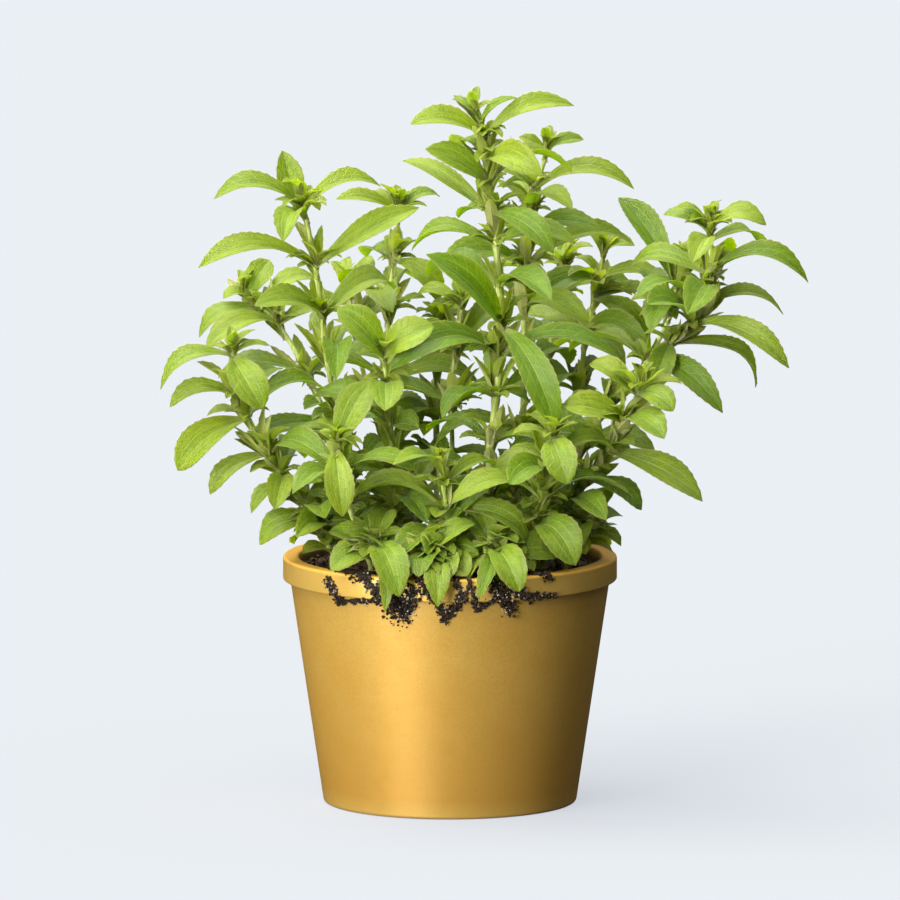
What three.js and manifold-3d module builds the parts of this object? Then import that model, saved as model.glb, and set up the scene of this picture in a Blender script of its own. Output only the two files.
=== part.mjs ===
// Stevia plant in its pot. Millimetres, +Z up, origin at the middle of the pot's base.
//
// The pot and the soil are plain round solids. Every leafy stem is one solid of its own: a tapered
// stem, its opposite pairs of toothed leaves and its bud, joined where they grow from each other.
// The stems stand in plain holes in the soil. A leaf that would cross another leaf, a stem, the soil
// or the pot is bent aside, or grows shorter, until it is clear.

import * as THREE from 'three';
import { mergeVertices } from 'three/addons/utils/BufferGeometryUtils.js';
import Module from 'manifold-3d';

const wasm = await Module();
wasm.setup();

// ---- driving sizes --------------------------------------------------------------------------

const potHeight = 104;
const rimRadius = 70;
const collarHeight = 9.7;
const collarStep = 3;
const footRadius = 53;
const wallThickness = 5;
const rimThickness = 6.7;
const floorThickness = 6;
const edgeBevel = 1;
const potSides = 40;

const soilEdge = 98.5;
const soilCrown = 101.5;
const soilRoughness = 0.9;
const soilRings = [24, 46];
const soilSides = 28;

const clearGap = 0.35;
const stemSides = 4;
const stemDepth = 15;
const tipGirth = 0.5;

const bladeThickness = 0.7;
const bladeFold = 30;
const widestShift = 1.5;
const bladeFullness = 0.62;
const shoulder = 0.32;
const firstTooth = 0.5;
const toothedPart = 0.52;
const toothOut = 1.05;
const toothBack = 0.84;
const toothCut = 0.22;
const smallLength = 21;
const ribCorner = 0.5;

// How leaves grow where the list below doesn't give them: the rise of a leaf goes from lowRise at
// the foot of the stem to lowRise + extraRise at its tip, slimness is half width over length, and
// lean turns its face to the light, which comes from the front.
const tallHabit = { leafLength: 39, slimness: 0.195, lowRise: 0, extraRise: 28, arch: 0.21, lean: 0.4 };
const lowHabit = { leafLength: 28, slimness: 0.27, lowRise: 4, extraRise: 20, arch: 0.22, lean: 0.3 };
const looseness = { length: 0.1, rise: 8, turn: 14, arch: 0.05, face: 0.35 };
const bud = { length: 13, rise: 58, slimness: 0.2, arch: 0.1, lean: 0.6, belowTip: 0.05 };
const topTaper = { from: 0.7, loss: 0.5 };
const footTaper = { to: 0.4, share: 0.7 };

const leafColour = 0x86ab3e;
const shootColour = 0x9cbb4d;
const soilColour = 0x2c1d12;
const potColour = 0xd9a54a;

// ---- the plant, stem by stem ------------------------------------------------------------------
// line: the middle line of the stem, from where it leaves the soil to its tip.
// pairs: the leaf pairs, bottom to top. at counts along the points of the line. a and b are the two
// leaves of the pair, as [tip x, tip y, tip z, arch, half width, lean]: arch is the rise of the
// middle of the leaf over its chord, as a part of its length, and lean turns its face to the front.
// A leaf that isn't given grows by the rule in growPair.

const tallStems = [
  {
    name: 'stem_left_tall', girth: 1.7,
    line: [[-32, 4, 103], [-39, 2, 127], [-45, 0, 153], [-51, -4, 185], [-55, -6, 217], [-59, -7, 242],
      [-62, -7, 252]],
    pairs: [
      { at: 1.5 },
      { at: 2.2, a: [-88, -14, 155, 0.12, 6.5, 0.7], b: [-13, -16, 161, 0.15, 6.5, 0.7] },
      { at: 3 },
      { at: 3.6, a: [-81, -30, 215, 0.15, 8, 0.9] },
      { at: 4.35, a: [-106, -16, 229, 0.2, 7, 0.5], b: [-13, 0, 251, 0.1, 7, 1] },
      { at: 5.4, a: [-70, -3, 275, -0.05, 7, 3], b: [-70, -38, 243, 0.2, 7, 0] },
      { at: 5.85, a: [-100, -12, 258, 0.22, 6.5, 0.6], b: [-28, -2, 262, 0.2, 6.5, 0.6] },
    ],
  },
  {
    name: 'stem_left_lean', girth: 1.6,
    line: [[-37, 20, 103], [-44, 26, 128], [-55, 32, 165], [-72, 38, 196], [-87, 40, 209]],
    pairs: [
      { at: 1.5 },
      { at: 2.3 },
      { at: 3, a: [-103, 20, 189, 0.22, 7, 0.7], b: [-44, 60, 203, 0.15, 7, 0.6] },
      { at: 3.5, a: [-105, 28, 192, 0.2, 6.5, 0.6] },
      { at: 3.85, a: [-96, 36, 208, 0.2, 5, 0.6], b: [-76, 44, 223, 0.1, 6, 1] },
    ],
  },
  {
    name: 'stem_left_low', girth: 1.5,
    line: [[-44, -6, 103], [-57, -12, 121], [-69, -18, 138], [-80, -22, 156], [-89, -24, 173],
      [-91, -24, 193]],
    pairs: [
      { at: 1.3 },
      { at: 2.1, a: [-79, -42, 130, 0.15, 7, 1.2] },
      { at: 2.6, a: [-101, -28, 134, 0.15, 6, 0.6] },
      { at: 3.5, a: [-115, -34, 145, 0.15, 9, 1] },
      { at: 4, a: [-118, -30, 172, 0.2, 6, 0.5], b: [-69, -8, 185, 0.15, 7, 0.6] },
      { at: 4.9, a: [-121, -28, 178, 0.25, 7, 0.6], b: [-78, -44, 172, 0.15, 8.5, 2] },
    ],
  },
  {
    name: 'stem_back_left', girth: 1.6,
    line: [[-22, 30, 103], [-24, 38, 130], [-26, 46, 163], [-26, 52, 196], [-24, 56, 220], [-21, 58, 243]],
    pairs: [
      { at: 1.3 },
      { at: 2.2 },
      { at: 3.1 },
      { at: 4, a: [-36, 78, 222, 0.15, 6.5, 0.3], b: [-3, 48, 205, 0.3, 6.5, 0.8] },
      { at: 4.85, a: [-48, 52, 248, 0.15, 5, 0.6] },
    ],
  },
  {
    name: 'stem_front_left', girth: 1.5,
    line: [[-23, -16, 103], [-24, -22, 135], [-25, -28, 165], [-28, -34, 195]],
    pairs: [
      { at: 0.7 },
      { at: 1.2 },
      { at: 1.9, a: [-13, -34, 162, 0.15, 7, 0.8] },
      { at: 2.5, a: [-27, -62, 174, 0.15, 8, 2.5] },
      { at: 2.9, a: [-7, -44, 207, 0.15, 8.5, 1.2], b: [-47, -42, 214, 0.15, 8.5, 1.2] },
    ],
  },
  {
    name: 'stem_centre_tall', girth: 1.9,
    line: [[16, -12, 103], [16, -14, 138], [19, -16, 172], [21, -18, 202], [20, -18, 229], [17, -15, 254],
      [15, -12, 275], [13, -10, 287], [10, -10, 291]],
    pairs: [
      { at: 0.85, a: [-6, -50, 127, 0.2, 9, 1] },
      { at: 1.4 },
      { at: 2 },
      { at: 2.6, a: [-28, -32, 188, 0.28, 8, 0.8], b: [71, -24, 191, 0.22, 7, 0.6] },
      { at: 3, a: [-8, -46, 238, 0.1, 9, 1.3], b: [45, -48, 162, 0.25, 8, 1.2] },
      { at: 3.6 },
      { at: 4.3, a: [-18, -12, 236, 0.22, 7, 0.6] },
      { at: 4.8, a: [-20, 0, 272, 0.05, 6.5, 0.8], b: [47, -38, 238, 0.2, 7, 0.8] },
      { at: 5.35, a: [-10, -24, 279, 0.08, 7, 1] },
      { at: 5.85, a: [38, -40, 271, 0.15, 8, 1.5], b: [1, 24, 272, 0.15, 6.5, 0.3] },
      { at: 6.45, a: [-17, -20, 290, 0.18, 7, 0.8], b: [52, -6, 295, 0.2, 6, 0.6] },
      { at: 7, a: [28, -14, 299, 0.15, 3.5, 0.6], b: [1, -6, 297, 0.2, 3.5, 0.6] },
    ],
  },
  {
    name: 'stem_centre_back', girth: 1.7,
    line: [[24, 14, 103], [29, 18, 137], [31, 22, 171], [31, 26, 204], [32, 28, 233], [36, 30, 254],
      [41, 31, 271]],
    pairs: [
      { at: 0.8 },
      { at: 1.4 },
      { at: 2.2 },
      { at: 3, a: [59, 4, 203, 0.2, 7, 0.8] },
      { at: 3.6, a: [77, 42, 231, 0.25, 6.5, 0.6] },
      { at: 4, a: [64, 8, 241, 0.2, 6.5, 0.7] },
      { at: 4.5, a: [51, -8, 253, 0.2, 6.5, 0.8] },
      { at: 5, a: [79, 18, 259, 0.22, 7, 0.7], b: [12, 40, 265, 0.15, 7, 0.6] },
      { at: 5.9, a: [56, 28, 276, 0.2, 4, 0.6], b: [29, 30, 277, 0.1, 3.5, 0.6] },
    ],
  },
  {
    name: 'stem_right_back', girth: 1.6,
    line: [[31, 28, 103], [44, 36, 131], [53, 44, 159], [57, 50, 188], [62, 54, 209], [65, 56, 225]],
    pairs: [
      { at: 1.4 },
      { at: 2.2 },
      { at: 3 },
      { at: 3.8, a: [91, 62, 201, 0.2, 6.5, 0.5], b: [74, 30, 190, 0.2, 6.5, 1.5] },
      { at: 4.2, a: [91, 48, 213, 0.2, 6.5, 0.7], b: [36, 44, 206, 0.25, 7, 0.7] },
      { at: 4.85, a: [78, 52, 229, 0.2, 5, 0.6], b: [59, 68, 235, 0.1, 5, 0.4] },
    ],
  },
  {
    name: 'stem_right_long', girth: 1.8,
    line: [[34, -2, 103], [46, 2, 130], [62, 6, 160], [82, 6, 184], [101, 2, 200], [108, 0, 220],
      [109, 0, 236], [109, 0, 243]],
    pairs: [
      { at: 1.5 },
      { at: 2.2 },
      { at: 3, a: [115, -30, 170, 0.2, 6.5, 0.8] },
      { at: 3.5, a: [132, 24, 173, 0.2, 6.5, 0.6], b: [84, -28, 176, 0.15, 6.5, 1] },
      { at: 4, a: [142, -20, 186, 0.22, 7, 0.7], b: [82, -38, 215, 0.1, 9, 1.2] },
      { at: 4.4, a: [140, 22, 203, 0.2, 6, 0.5] },
      { at: 4.8, a: [99, -38, 212, 0.15, 8, 1.5] },
      { at: 5.1, a: [152, -8, 222, 0.28, 7, 0.6] },
      { at: 6.1, a: [132, 26, 229, 0.2, 6, 0.5], b: [101, -30, 232, 0.15, 6, 1] },
      { at: 6.6, a: [133, -8, 246, 0.25, 6, 0.6], b: [89, 4, 248, 0.2, 5, 0.6] },
    ],
    branch: {
      girth: 1.2,
      line: [[82, 6, 184], [91, 10, 201], [95, 12, 215], [97, 13, 224]],
      pairs: [
        { at: 1.1, a: [80, 40, 219, 0.15, 6.5, 0.5] },
        { at: 2, a: [65, 14, 253, 0.06, 8, 1.3], b: [108, 34, 228, 0.1, 6.5, 0.4] },
        { at: 2.75, a: [101, 10, 235, 0.1, 3.5, 0.6], b: [90, 20, 231, 0.1, 3.5, 0.6] },
      ],
    },
  },
  {
    name: 'stem_right_low', girth: 1.8,
    line: [[39, -14, 103], [49, -20, 127], [62, -28, 147], [72, -34, 164], [80, -38, 181]],
    pairs: [
      { at: 1.1, a: [65, -50, 127, 0.15, 6.5, 1] },
      { at: 1.6, a: [81, -30, 128, 0.15, 6, 0.6] },
      { at: 2.3, a: [106, -40, 133, 0.1, 8, 1], b: [41, -32, 161, 0.15, 6.5, 0.8] },
      { at: 3, a: [89, -62, 163, 0.15, 8, 0.8], b: [47, -46, 174, 0.15, 8, 1.2] },
      { at: 3.7, a: [93, -50, 172, 0.2, 6.5, 0.8], b: [58, -36, 191, 0.15, 6.5, 1] },
    ],
  },
  {
    name: 'stem_back_centre_left', girth: 1.3,
    line: [[-5, 40, 103], [-6, 50, 133], [-6, 58, 166], [-4, 62, 194]],
    pairs: [{ at: 1 }, { at: 1.6 }, { at: 2.3 }, { at: 2.9 }],
  },
  {
    name: 'stem_back_centre', girth: 1.3,
    line: [[2, 20, 103], [1, 26, 141], [1, 32, 174], [5, 36, 207]],
    pairs: [{ at: 0.8 }, { at: 1.6 }, { at: 2.3 }, { at: 2.9 }],
  },
  {
    name: 'stem_back_right', girth: 1.6,
    line: [[22, 42, 103], [30, 62, 135], [40, 78, 171], [46, 88, 200], [49, 92, 215]],
    pairs: [{ at: 2.2 }, { at: 3 }, { at: 3.8 }],
  },
  {
    name: 'stem_back_far_left', girth: 1.5,
    line: [[-13, 46, 103], [-27, 68, 139], [-39, 84, 179], [-43, 92, 207]],
    pairs: [{ at: 1.4 }, { at: 2.2 }, { at: 2.8, a: [-33, 72, 217, 0.2, 8, 0.6] }],
  },
  {
    name: 'stem_front_centre', girth: 1.3,
    line: [[0, -30, 103], [-1, -42, 125], [-4, -52, 147]],
    pairs: [{ at: 0.6 }, { at: 1.1 }, { at: 1.65 }],
  },
  {
    name: 'stem_front_right', girth: 1.4,
    line: [[31, -28, 103], [38, -42, 133], [43, -52, 162]],
    pairs: [
      { at: 0.6, a: [53, -60, 109, 0.25, 9, 1] },
      { at: 1 },
      { at: 1.5, a: [21, -58, 144, 0.15, 8, 0.8] },
      { at: 1.9, a: [49, -74, 145, 0.2, 8, 2] },
    ],
  },
  {
    name: 'stem_front_left_low', girth: 1.4,
    line: [[-33, -24, 103], [-43, -40, 133], [-48, -50, 158]],
    pairs: [
      { at: 1 },
      { at: 1.4 },
      { at: 1.9, a: [-47, -68, 130, 0.2, 7, 2.5], b: [-33, -48, 185, 0.1, 8, 1] },
    ],
  },
];

// Short young shoots round the foot of the plant, whose broad leaves spill over the rim.
const lowShoots = [
  {
    name: 'shoot_rim_left', girth: 1.3,
    line: [[-47, -12, 103], [-52, -16, 112], [-56, -19, 120]],
    pairs: [
      { at: 1.2, a: [-64, -44, 119, 0.2, 6.5, 1], b: [-28, -30, 118, 0.2, 6.5, 0.8] },
      { at: 1.9, a: [-80, -22, 112, 0.3, 8, 0.8], b: [-52, -46, 124, 0.2, 6.5, 0.8] },
    ],
  },
  {
    name: 'shoot_front_left', girth: 1.3,
    line: [[-24, -36, 103], [-28, -43, 109], [-32, -50, 114]],
    pairs: [
      { at: 0.6, a: [-27, -76, 92, 0.28, 4.5, 1], b: [-8, -28, 118, 0.15, 7, 0.8] },
      { at: 1.2, a: [-50, -60, 107, 0.2, 7.5, 1], b: [-50, -36, 120, 0.2, 6.5, 1] },
      { at: 1.9, a: [-18, -74, 97.5, 0.3, 8.5, 1], b: [-26, -34, 128, 0.15, 7, 0.8] },
    ],
  },
  {
    name: 'shoot_front', girth: 1.3,
    line: [[-3, -42, 103], [-6, -50, 108], [-9, -57, 112]],
    pairs: [
      { at: 0.75, a: [12, -60, 114, 0.2, 6.5, 1], b: [-22, -36, 120, 0.2, 7, 1] },
      { at: 1.25, a: [1, -76, 93.5, 0.3, 6, 1], b: [-12, -34, 126, 0.15, 6.5, 1.5] },
      { at: 1.8, a: [-19, -62, 120, 0.15, 6, 1], b: [8, -46, 126, 0.2, 6, 1] },
    ],
  },
  {
    name: 'shoot_front_right', girth: 1.3,
    line: [[22, -36, 103], [21, -45, 108], [19, -53, 112]],
    pairs: [
      { at: 0.7, a: [12, -77, 96.5, 0.28, 5, 1], b: [4, -42, 121, 0.2, 7, 1] },
      { at: 1.3, a: [46, -50, 112, 0.2, 8, 1], b: [31, -28, 123, 0.15, 6.5, 1] },
      { at: 1.9, a: [29, -74, 99.5, 0.3, 8.5, 1], b: [9, -42, 129, 0.15, 7, 1] },
    ],
  },
  {
    name: 'shoot_rim_right', girth: 1.3,
    line: [[48, -14, 103], [53, -17, 110], [57, -20, 118]],
    pairs: [
      { at: 1.2, a: [72, -6, 122, 0.2, 6.5, 0.6], b: [38, -36, 118, 0.2, 6.5, 0.8] },
      { at: 1.9, a: [68, -26, 136, 0.1, 6, 0.8], b: [52, -52, 112, 0.2, 6.5, 1] },
    ],
  },
  {
    name: 'shoot_back_left', girth: 1.3,
    line: [[-34, 38, 103], [-38, 44, 110], [-42, 49, 117]],
    pairs: [{ at: 1.2 }, { at: 1.9 }],
  },
  {
    name: 'shoot_back_right', girth: 1.3,
    line: [[36, 40, 103], [41, 45, 110], [45, 50, 118]],
    pairs: [{ at: 1.2 }, { at: 1.9 }],
  },
];

// The ways to bend a leaf aside: degrees round its root, degrees up, and how much of its length.
const turns = [0, 7, -7, 14, -14, 22, -22, 32, -32, 45, -45];
const lifts = [0, 8, -8, 16, -16, 26];
const shrinks = [1, 0.8, 0.6];

// ---- repeatable chance ------------------------------------------------------------------------

let chanceState = 20261;

function chance() {
  chanceState = (Math.imul(chanceState, 1664525) + 1013904223) >>> 0;
  return chanceState / 4294967296;
}

function spread(amount) {
  return amount * (2 * chance() - 1);
}

// ---- solids -----------------------------------------------------------------------------------

const degree = Math.PI / 180;
const up = new THREE.Vector3(0, 0, 1);

function geometryOf(points, faces) {
  const geometry = new THREE.BufferGeometry();
  geometry.setAttribute('position', new THREE.Float32BufferAttribute(points.flat(), 3));
  geometry.setIndex(faces.flat());
  return geometry;
}

function solidOf(geometry) {
  const bare = geometry.clone();
  bare.deleteAttribute('normal');
  bare.deleteAttribute('uv');
  const merged = mergeVertices(bare, 1e-4);
  const corners = merged.index.array;
  const kept = [];
  for (let i = 0; i < corners.length; i += 3) {
    const [a, b, c] = corners.slice(i, i + 3);
    if (a !== b && b !== c && c !== a) kept.push(a, b, c);
  }
  const vertProperties = new Float32Array(merged.attributes.position.array);
  const mesh = new wasm.Mesh({ numProp: 3, vertProperties, triVerts: new Uint32Array(kept) });
  return new wasm.Manifold(mesh);
}

function geometryFrom(solid) {
  const mesh = solid.getMesh();
  const geometry = new THREE.BufferGeometry();
  geometry.setAttribute('position', new THREE.Float32BufferAttribute(mesh.vertProperties, 3));
  geometry.setIndex(Array.from(mesh.triVerts));
  return geometry;
}

function pieceOf(solid) {
  const box = solid.boundingBox();
  return { solid, box };
}

function boxesMeet(a, b) {
  return [0, 1, 2].every((i) => a.min[i] < b.max[i] && b.min[i] < a.max[i]);
}

function meets(piece, others) {
  return others.some((other) => {
    if (!boxesMeet(piece.box, other.box)) return false;
    const shared = piece.solid.intersect(other.solid);
    const crossed = !shared.isEmpty();
    shared.delete();
    return crossed;
  });
}

// ---- pot and soil -----------------------------------------------------------------------------

function innerRadius(z) {
  const bodyTop = potHeight - collarHeight;
  const bodyRadius = footRadius + (rimRadius - collarStep - footRadius) * (z / bodyTop);
  return Math.min(bodyRadius - wallThickness, rimRadius - rimThickness);
}

function potGeometry() {
  const bodyTop = potHeight - collarHeight;
  const profile = [
    [0, 0],
    [footRadius - edgeBevel, 0],
    [footRadius, edgeBevel],
    [rimRadius - collarStep, bodyTop],
    [rimRadius, bodyTop],
    [rimRadius, potHeight - edgeBevel],
    [rimRadius - edgeBevel, potHeight],
    [rimRadius - rimThickness + edgeBevel, potHeight],
    [rimRadius - rimThickness, potHeight - edgeBevel],
    [innerRadius(bodyTop), bodyTop],
    [innerRadius(floorThickness), floorThickness],
    [0, floorThickness],
  ];
  const lathe = new THREE.LatheGeometry(profile.map(([r, h]) => new THREE.Vector2(r, h)), potSides);
  return lathe.rotateX(Math.PI / 2);
}

function soilHeight(x, y) {
  const out = Math.hypot(x, y) / innerRadius(soilEdge);
  const mound = soilEdge + (soilCrown - soilEdge) * (1 - out * out);
  const bumps = Math.sin(0.31 * x + 1.3) * Math.cos(0.27 * y - 0.4) + 0.6 * Math.sin(0.53 * y + 0.21 * x);
  return mound + soilRoughness * bumps * (1 - out ** 4);
}

function soilGeometry() {
  const base = floorThickness + clearGap;
  const top = innerRadius(soilEdge) - clearGap;
  const radii = [...soilRings, top];
  const points = [[0, 0, soilHeight(0, 0)]];
  const addRing = (radius, height) => {
    for (let j = 0; j < soilSides; j += 1) {
      const turn = (2 * Math.PI * j) / soilSides;
      const x = radius * Math.cos(turn);
      const y = radius * Math.sin(turn);
      points.push([x, y, height(x, y)]);
    }
  };
  radii.forEach((radius) => addRing(radius, soilHeight));
  addRing(innerRadius(base) - clearGap, () => base);
  points.push([0, 0, base]);
  const faces = [];
  const last = points.length - 1;
  const ringCount = radii.length + 1;
  for (let j = 0; j < soilSides; j += 1) {
    const next = (j + 1) % soilSides;
    faces.push([0, 1 + j, 1 + next]);
    for (let i = 0; i + 1 < ringCount; i += 1) {
      const a = 1 + i * soilSides;
      const b = a + soilSides;
      faces.push([a + j, b + j, b + next], [a + j, b + next, a + next]);
    }
    const foot = 1 + (ringCount - 1) * soilSides;
    faces.push([last, foot + next, foot + j]);
  }
  return geometryOf(points, faces);
}

// ---- stems ------------------------------------------------------------------------------------

// The point of the stem's middle line that is at spans along it.
function pointAt(shoot, at) {
  const span = Math.min(Math.floor(at), shoot.line.length - 2);
  const from = new THREE.Vector3(...shoot.line[span]);
  return from.lerp(new THREE.Vector3(...shoot.line[span + 1]), at - span);
}

// The way the stem runs at one point of its line.
function wayAt(shoot, at) {
  const before = pointAt(shoot, Math.max(0, at - 1));
  return pointAt(shoot, Math.min(shoot.line.length - 1, at + 1)).sub(before).normalize();
}

function girthAt(shoot, at) {
  const along = Math.max(0, at / (shoot.line.length - 1));
  return shoot.girth * (1 - (1 - tipGirth) * along);
}

// One ring of the stem: its corners lie square to the way the stem runs.
function ringPoints(middle, way, radius) {
  const across = new THREE.Vector3(0, 1, 0).cross(way).normalize();
  const other = new THREE.Vector3().crossVectors(way, across);
  const ring = [];
  for (let j = 0; j < stemSides; j += 1) {
    const turn = (2 * Math.PI * j) / stemSides;
    const p = middle.clone();
    p.addScaledVector(across, radius * Math.cos(turn));
    p.addScaledVector(other, radius * Math.sin(turn));
    ring.push(p.toArray());
  }
  return ring;
}

function stemGeometry(shoot, footed) {
  const spans = shoot.line.length - 1;
  const points = [];
  const start = pointAt(shoot, 0);
  if (footed) {
    const foot = start.clone().setZ(start.z - stemDepth);
    points.push(...ringPoints(foot, up, shoot.girth));
    points.push(...ringPoints(start, up, shoot.girth));
  }
  for (let at = footed ? 1 : 0; at <= spans; at += 1) {
    points.push(...ringPoints(pointAt(shoot, at), wayAt(shoot, at), girthAt(shoot, at)));
  }
  const rings = points.length / stemSides;
  const faces = [];
  for (let j = 0; j < stemSides; j += 1) {
    const next = (j + 1) % stemSides;
    for (let i = 0; i + 1 < rings; i += 1) {
      const a = i * stemSides;
      const b = a + stemSides;
      faces.push([a + j, a + next, b + next], [a + j, b + next, b + j]);
    }
  }
  for (let j = 1; j + 1 < stemSides; j += 1) {
    const end = (rings - 1) * stemSides;
    faces.push([0, j + 1, j], [end, end + j, end + j + 1]);
  }
  return geometryOf(points, faces);
}

// The plain hole that a stem stands in.
function holeGeometry(shoot) {
  const [x, y, z] = shoot.line[0];
  const foot = new THREE.Vector3(x, y, z - stemDepth - clearGap);
  const radius = shoot.girth + clearGap / Math.cos(Math.PI / stemSides);
  const top = foot.clone().setZ(potHeight);
  const points = [...ringPoints(foot, up, radius), ...ringPoints(top, up, radius)];
  const faces = [];
  for (let j = 0; j < stemSides; j += 1) {
    const next = (j + 1) % stemSides;
    faces.push([j, next, stemSides + next], [j, stemSides + next, stemSides + j]);
  }
  for (let j = 1; j + 1 < stemSides; j += 1) {
    faces.push([0, j + 1, j], [stemSides, stemSides + j, stemSides + j + 1]);
  }
  return geometryOf(points, faces);
}

// ---- leaves -----------------------------------------------------------------------------------

// Half width along the leaf, as a part of its greatest: narrow at the root, widest past the middle.
function bladeWidth(s) {
  return Math.sin(Math.PI * s ** widestShift) ** bladeFullness;
}

// One edge of the leaf from root to tip: a plain lower part, then the teeth, each cut back sharply.
function edgeStations(teeth) {
  const stations = [[shoulder, bladeWidth(shoulder)]];
  const step = toothedPart / (teeth + 0.5);
  for (let k = 0; k < teeth; k += 1) {
    const point = firstTooth + k * step;
    const notch = point + toothCut * step;
    stations.push([point, toothOut * bladeWidth(point)]);
    if (k + 1 < teeth) stations.push([notch, toothBack * bladeWidth(notch)]);
  }
  return stations;
}

function teethOf(leaf) {
  return leaf.root.distanceTo(leaf.tip) > smallLength ? 2 : 1;
}

// Where the leaf is at s along it and u across it, and the way its upper face looks there.
function bladePoint(leaf, s, u) {
  const chord = leaf.tip.clone().sub(leaf.root);
  const length = chord.length();
  const share = leaf.face.dot(chord) / length ** 2;
  const lift = leaf.face.clone().addScaledVector(chord, -share).normalize();
  const middle = leaf.root.clone().addScaledVector(chord, s);
  middle.addScaledVector(lift, 4 * leaf.arch * length * s * (1 - s));
  const way = chord.clone().addScaledVector(lift, 4 * leaf.arch * length * (1 - 2 * s)).normalize();
  const normal = leaf.face.clone().addScaledVector(way, -leaf.face.dot(way)).normalize();
  const side = new THREE.Vector3().crossVectors(way, normal);
  middle.addScaledVector(side, u * Math.cos(bladeFold * degree));
  middle.addScaledVector(normal, Math.abs(u) * Math.sin(bladeFold * degree));
  return { point: middle, normal };
}

// The faces between the rib and one edge, both as lists of [corner, s].
function halfFaces(rib, edge, flip) {
  const faces = [];
  const add = (a, b, c) => faces.push(flip ? [a, c, b] : [a, b, c]);
  let m = 0;
  let e = 0;
  while (m + 1 < rib.length || e + 1 < edge.length) {
    const alongRib = e + 1 === edge.length || (m + 1 < rib.length && rib[m + 1][1] < edge[e + 1][1]);
    if (alongRib) {
      add(rib[m][0], edge[e][0], rib[m + 1][0]);
      m += 1;
    } else {
      add(rib[m][0], edge[e][0], edge[e + 1][0]);
      e += 1;
    }
  }
  return { faces, last: [rib[m][0], edge[e][0]] };
}

// A leaf as a thin closed blade, split into the same triangles on its upper and lower face.
function bladeGeometry(leaf, grow = 0) {
  const upper = [];
  const lower = [];
  const half = bladeThickness / 2 + grow;
  const addCorner = (s, u) => {
    const { point, normal } = bladePoint(leaf, s, u);
    upper.push(point.clone().addScaledVector(normal, half).toArray());
    lower.push(point.clone().addScaledVector(normal, -half).toArray());
    return upper.length - 1;
  };
  const root = addCorner(0, 0);
  const edgeOf = (side) => {
    const stations = edgeStations(teethOf(leaf));
    return stations.map(([s, w]) => [addCorner(s, side * (w * leaf.half + grow)), s]);
  };
  const right = edgeOf(1);
  const left = edgeOf(-1);
  const rib = [[addCorner(ribCorner, 0), ribCorner]];
  const tip = addCorner(1 + grow / leaf.root.distanceTo(leaf.tip), 0);
  const rightHalf = halfFaces(rib, right, false);
  const leftHalf = halfFaces(rib, left, true);
  const top = [[root, right[0][0], left[0][0]], [left[0][0], right[0][0], rib[0][0]]];
  top.push(...rightHalf.faces, ...leftHalf.faces);
  top.push([rightHalf.last[0], rightHalf.last[1], tip], [leftHalf.last[0], tip, leftHalf.last[1]]);
  const count = upper.length;
  const cornersOf = (edge) => edge.map(([corner]) => corner);
  const rimCorners = [root, ...cornersOf(right), tip, ...cornersOf(left).reverse()];
  const walls = rimCorners.flatMap((a, i) => {
    const b = rimCorners[(i + 1) % rimCorners.length];
    return [[a, a + count, b + count], [a, b + count, b]];
  });
  const bottom = top.map(([a, b, c]) => [a + count, c + count, b + count]);
  return geometryOf([...upper, ...lower], [...top, ...bottom, ...walls]);
}

// The point at a length from another, by its heading round Z and its rise above level.
function reachedFrom(root, heading, rise, length) {
  const flat = length * Math.cos(rise);
  const step = new THREE.Vector3(flat * Math.cos(heading), flat * Math.sin(heading), length * Math.sin(rise));
  return root.clone().add(step);
}

// The same leaf turned round its root, lifted, and shortened.
function bentLeaf(leaf, turn, lift, shrink) {
  const reach = leaf.tip.clone().sub(leaf.root);
  const flat = Math.hypot(reach.x, reach.y);
  const heading = Math.atan2(reach.y, reach.x) + turn * degree;
  const rise = Math.atan2(reach.z, flat) + lift * degree;
  const tip = reachedFrom(leaf.root, heading, rise, reach.length() * shrink);
  return { ...leaf, tip, half: leaf.half * shrink };
}

// ---- growing ----------------------------------------------------------------------------------

function headingOf(root, tip) {
  return Math.atan2(tip[1] - root.y, tip[0] - root.x);
}

function givenLeaf(root, spec) {
  const [x, y, z, arch, half, lean] = spec;
  return { root, tip: new THREE.Vector3(x, y, z), arch, half, face: new THREE.Vector3(0, -lean, 1) };
}

// A leaf grown by rule: longest in the middle of the stem, shorter at its foot and its tip.
function ruledLeaf(root, heading, along, habit) {
  const top = 1 - topTaper.loss * Math.max(0, (along - topTaper.from) / (1 - topTaper.from));
  const foot = footTaper.share + (1 - footTaper.share) * Math.min(1, along / footTaper.to);
  const length = habit.leafLength * top * foot * (1 + spread(looseness.length));
  const rise = habit.lowRise + habit.extraRise * along ** 2 + spread(looseness.rise);
  const tip = reachedFrom(root, heading + spread(looseness.turn) * degree, rise * degree, length);
  const face = new THREE.Vector3(spread(looseness.face), spread(looseness.face) - habit.lean, 1);
  return { root, tip, arch: habit.arch + spread(looseness.arch), half: length * habit.slimness, face };
}

// The two leaves of a pair stand opposite each other, square to the pair below.
function growPair(shoot, pair, heading, habit) {
  const root = pointAt(shoot, pair.at);
  const along = pair.at / (shoot.line.length - 1);
  const ahead = pair.a ? headingOf(root, pair.a) : heading;
  const behind = pair.b ? headingOf(root, pair.b) : ahead + Math.PI;
  const a = pair.a ? givenLeaf(root, pair.a) : ruledLeaf(root, ahead, along, habit);
  const b = pair.b ? givenLeaf(root, pair.b) : ruledLeaf(root, behind, along, habit);
  return { leaves: [a, b], heading: ahead };
}

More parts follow.
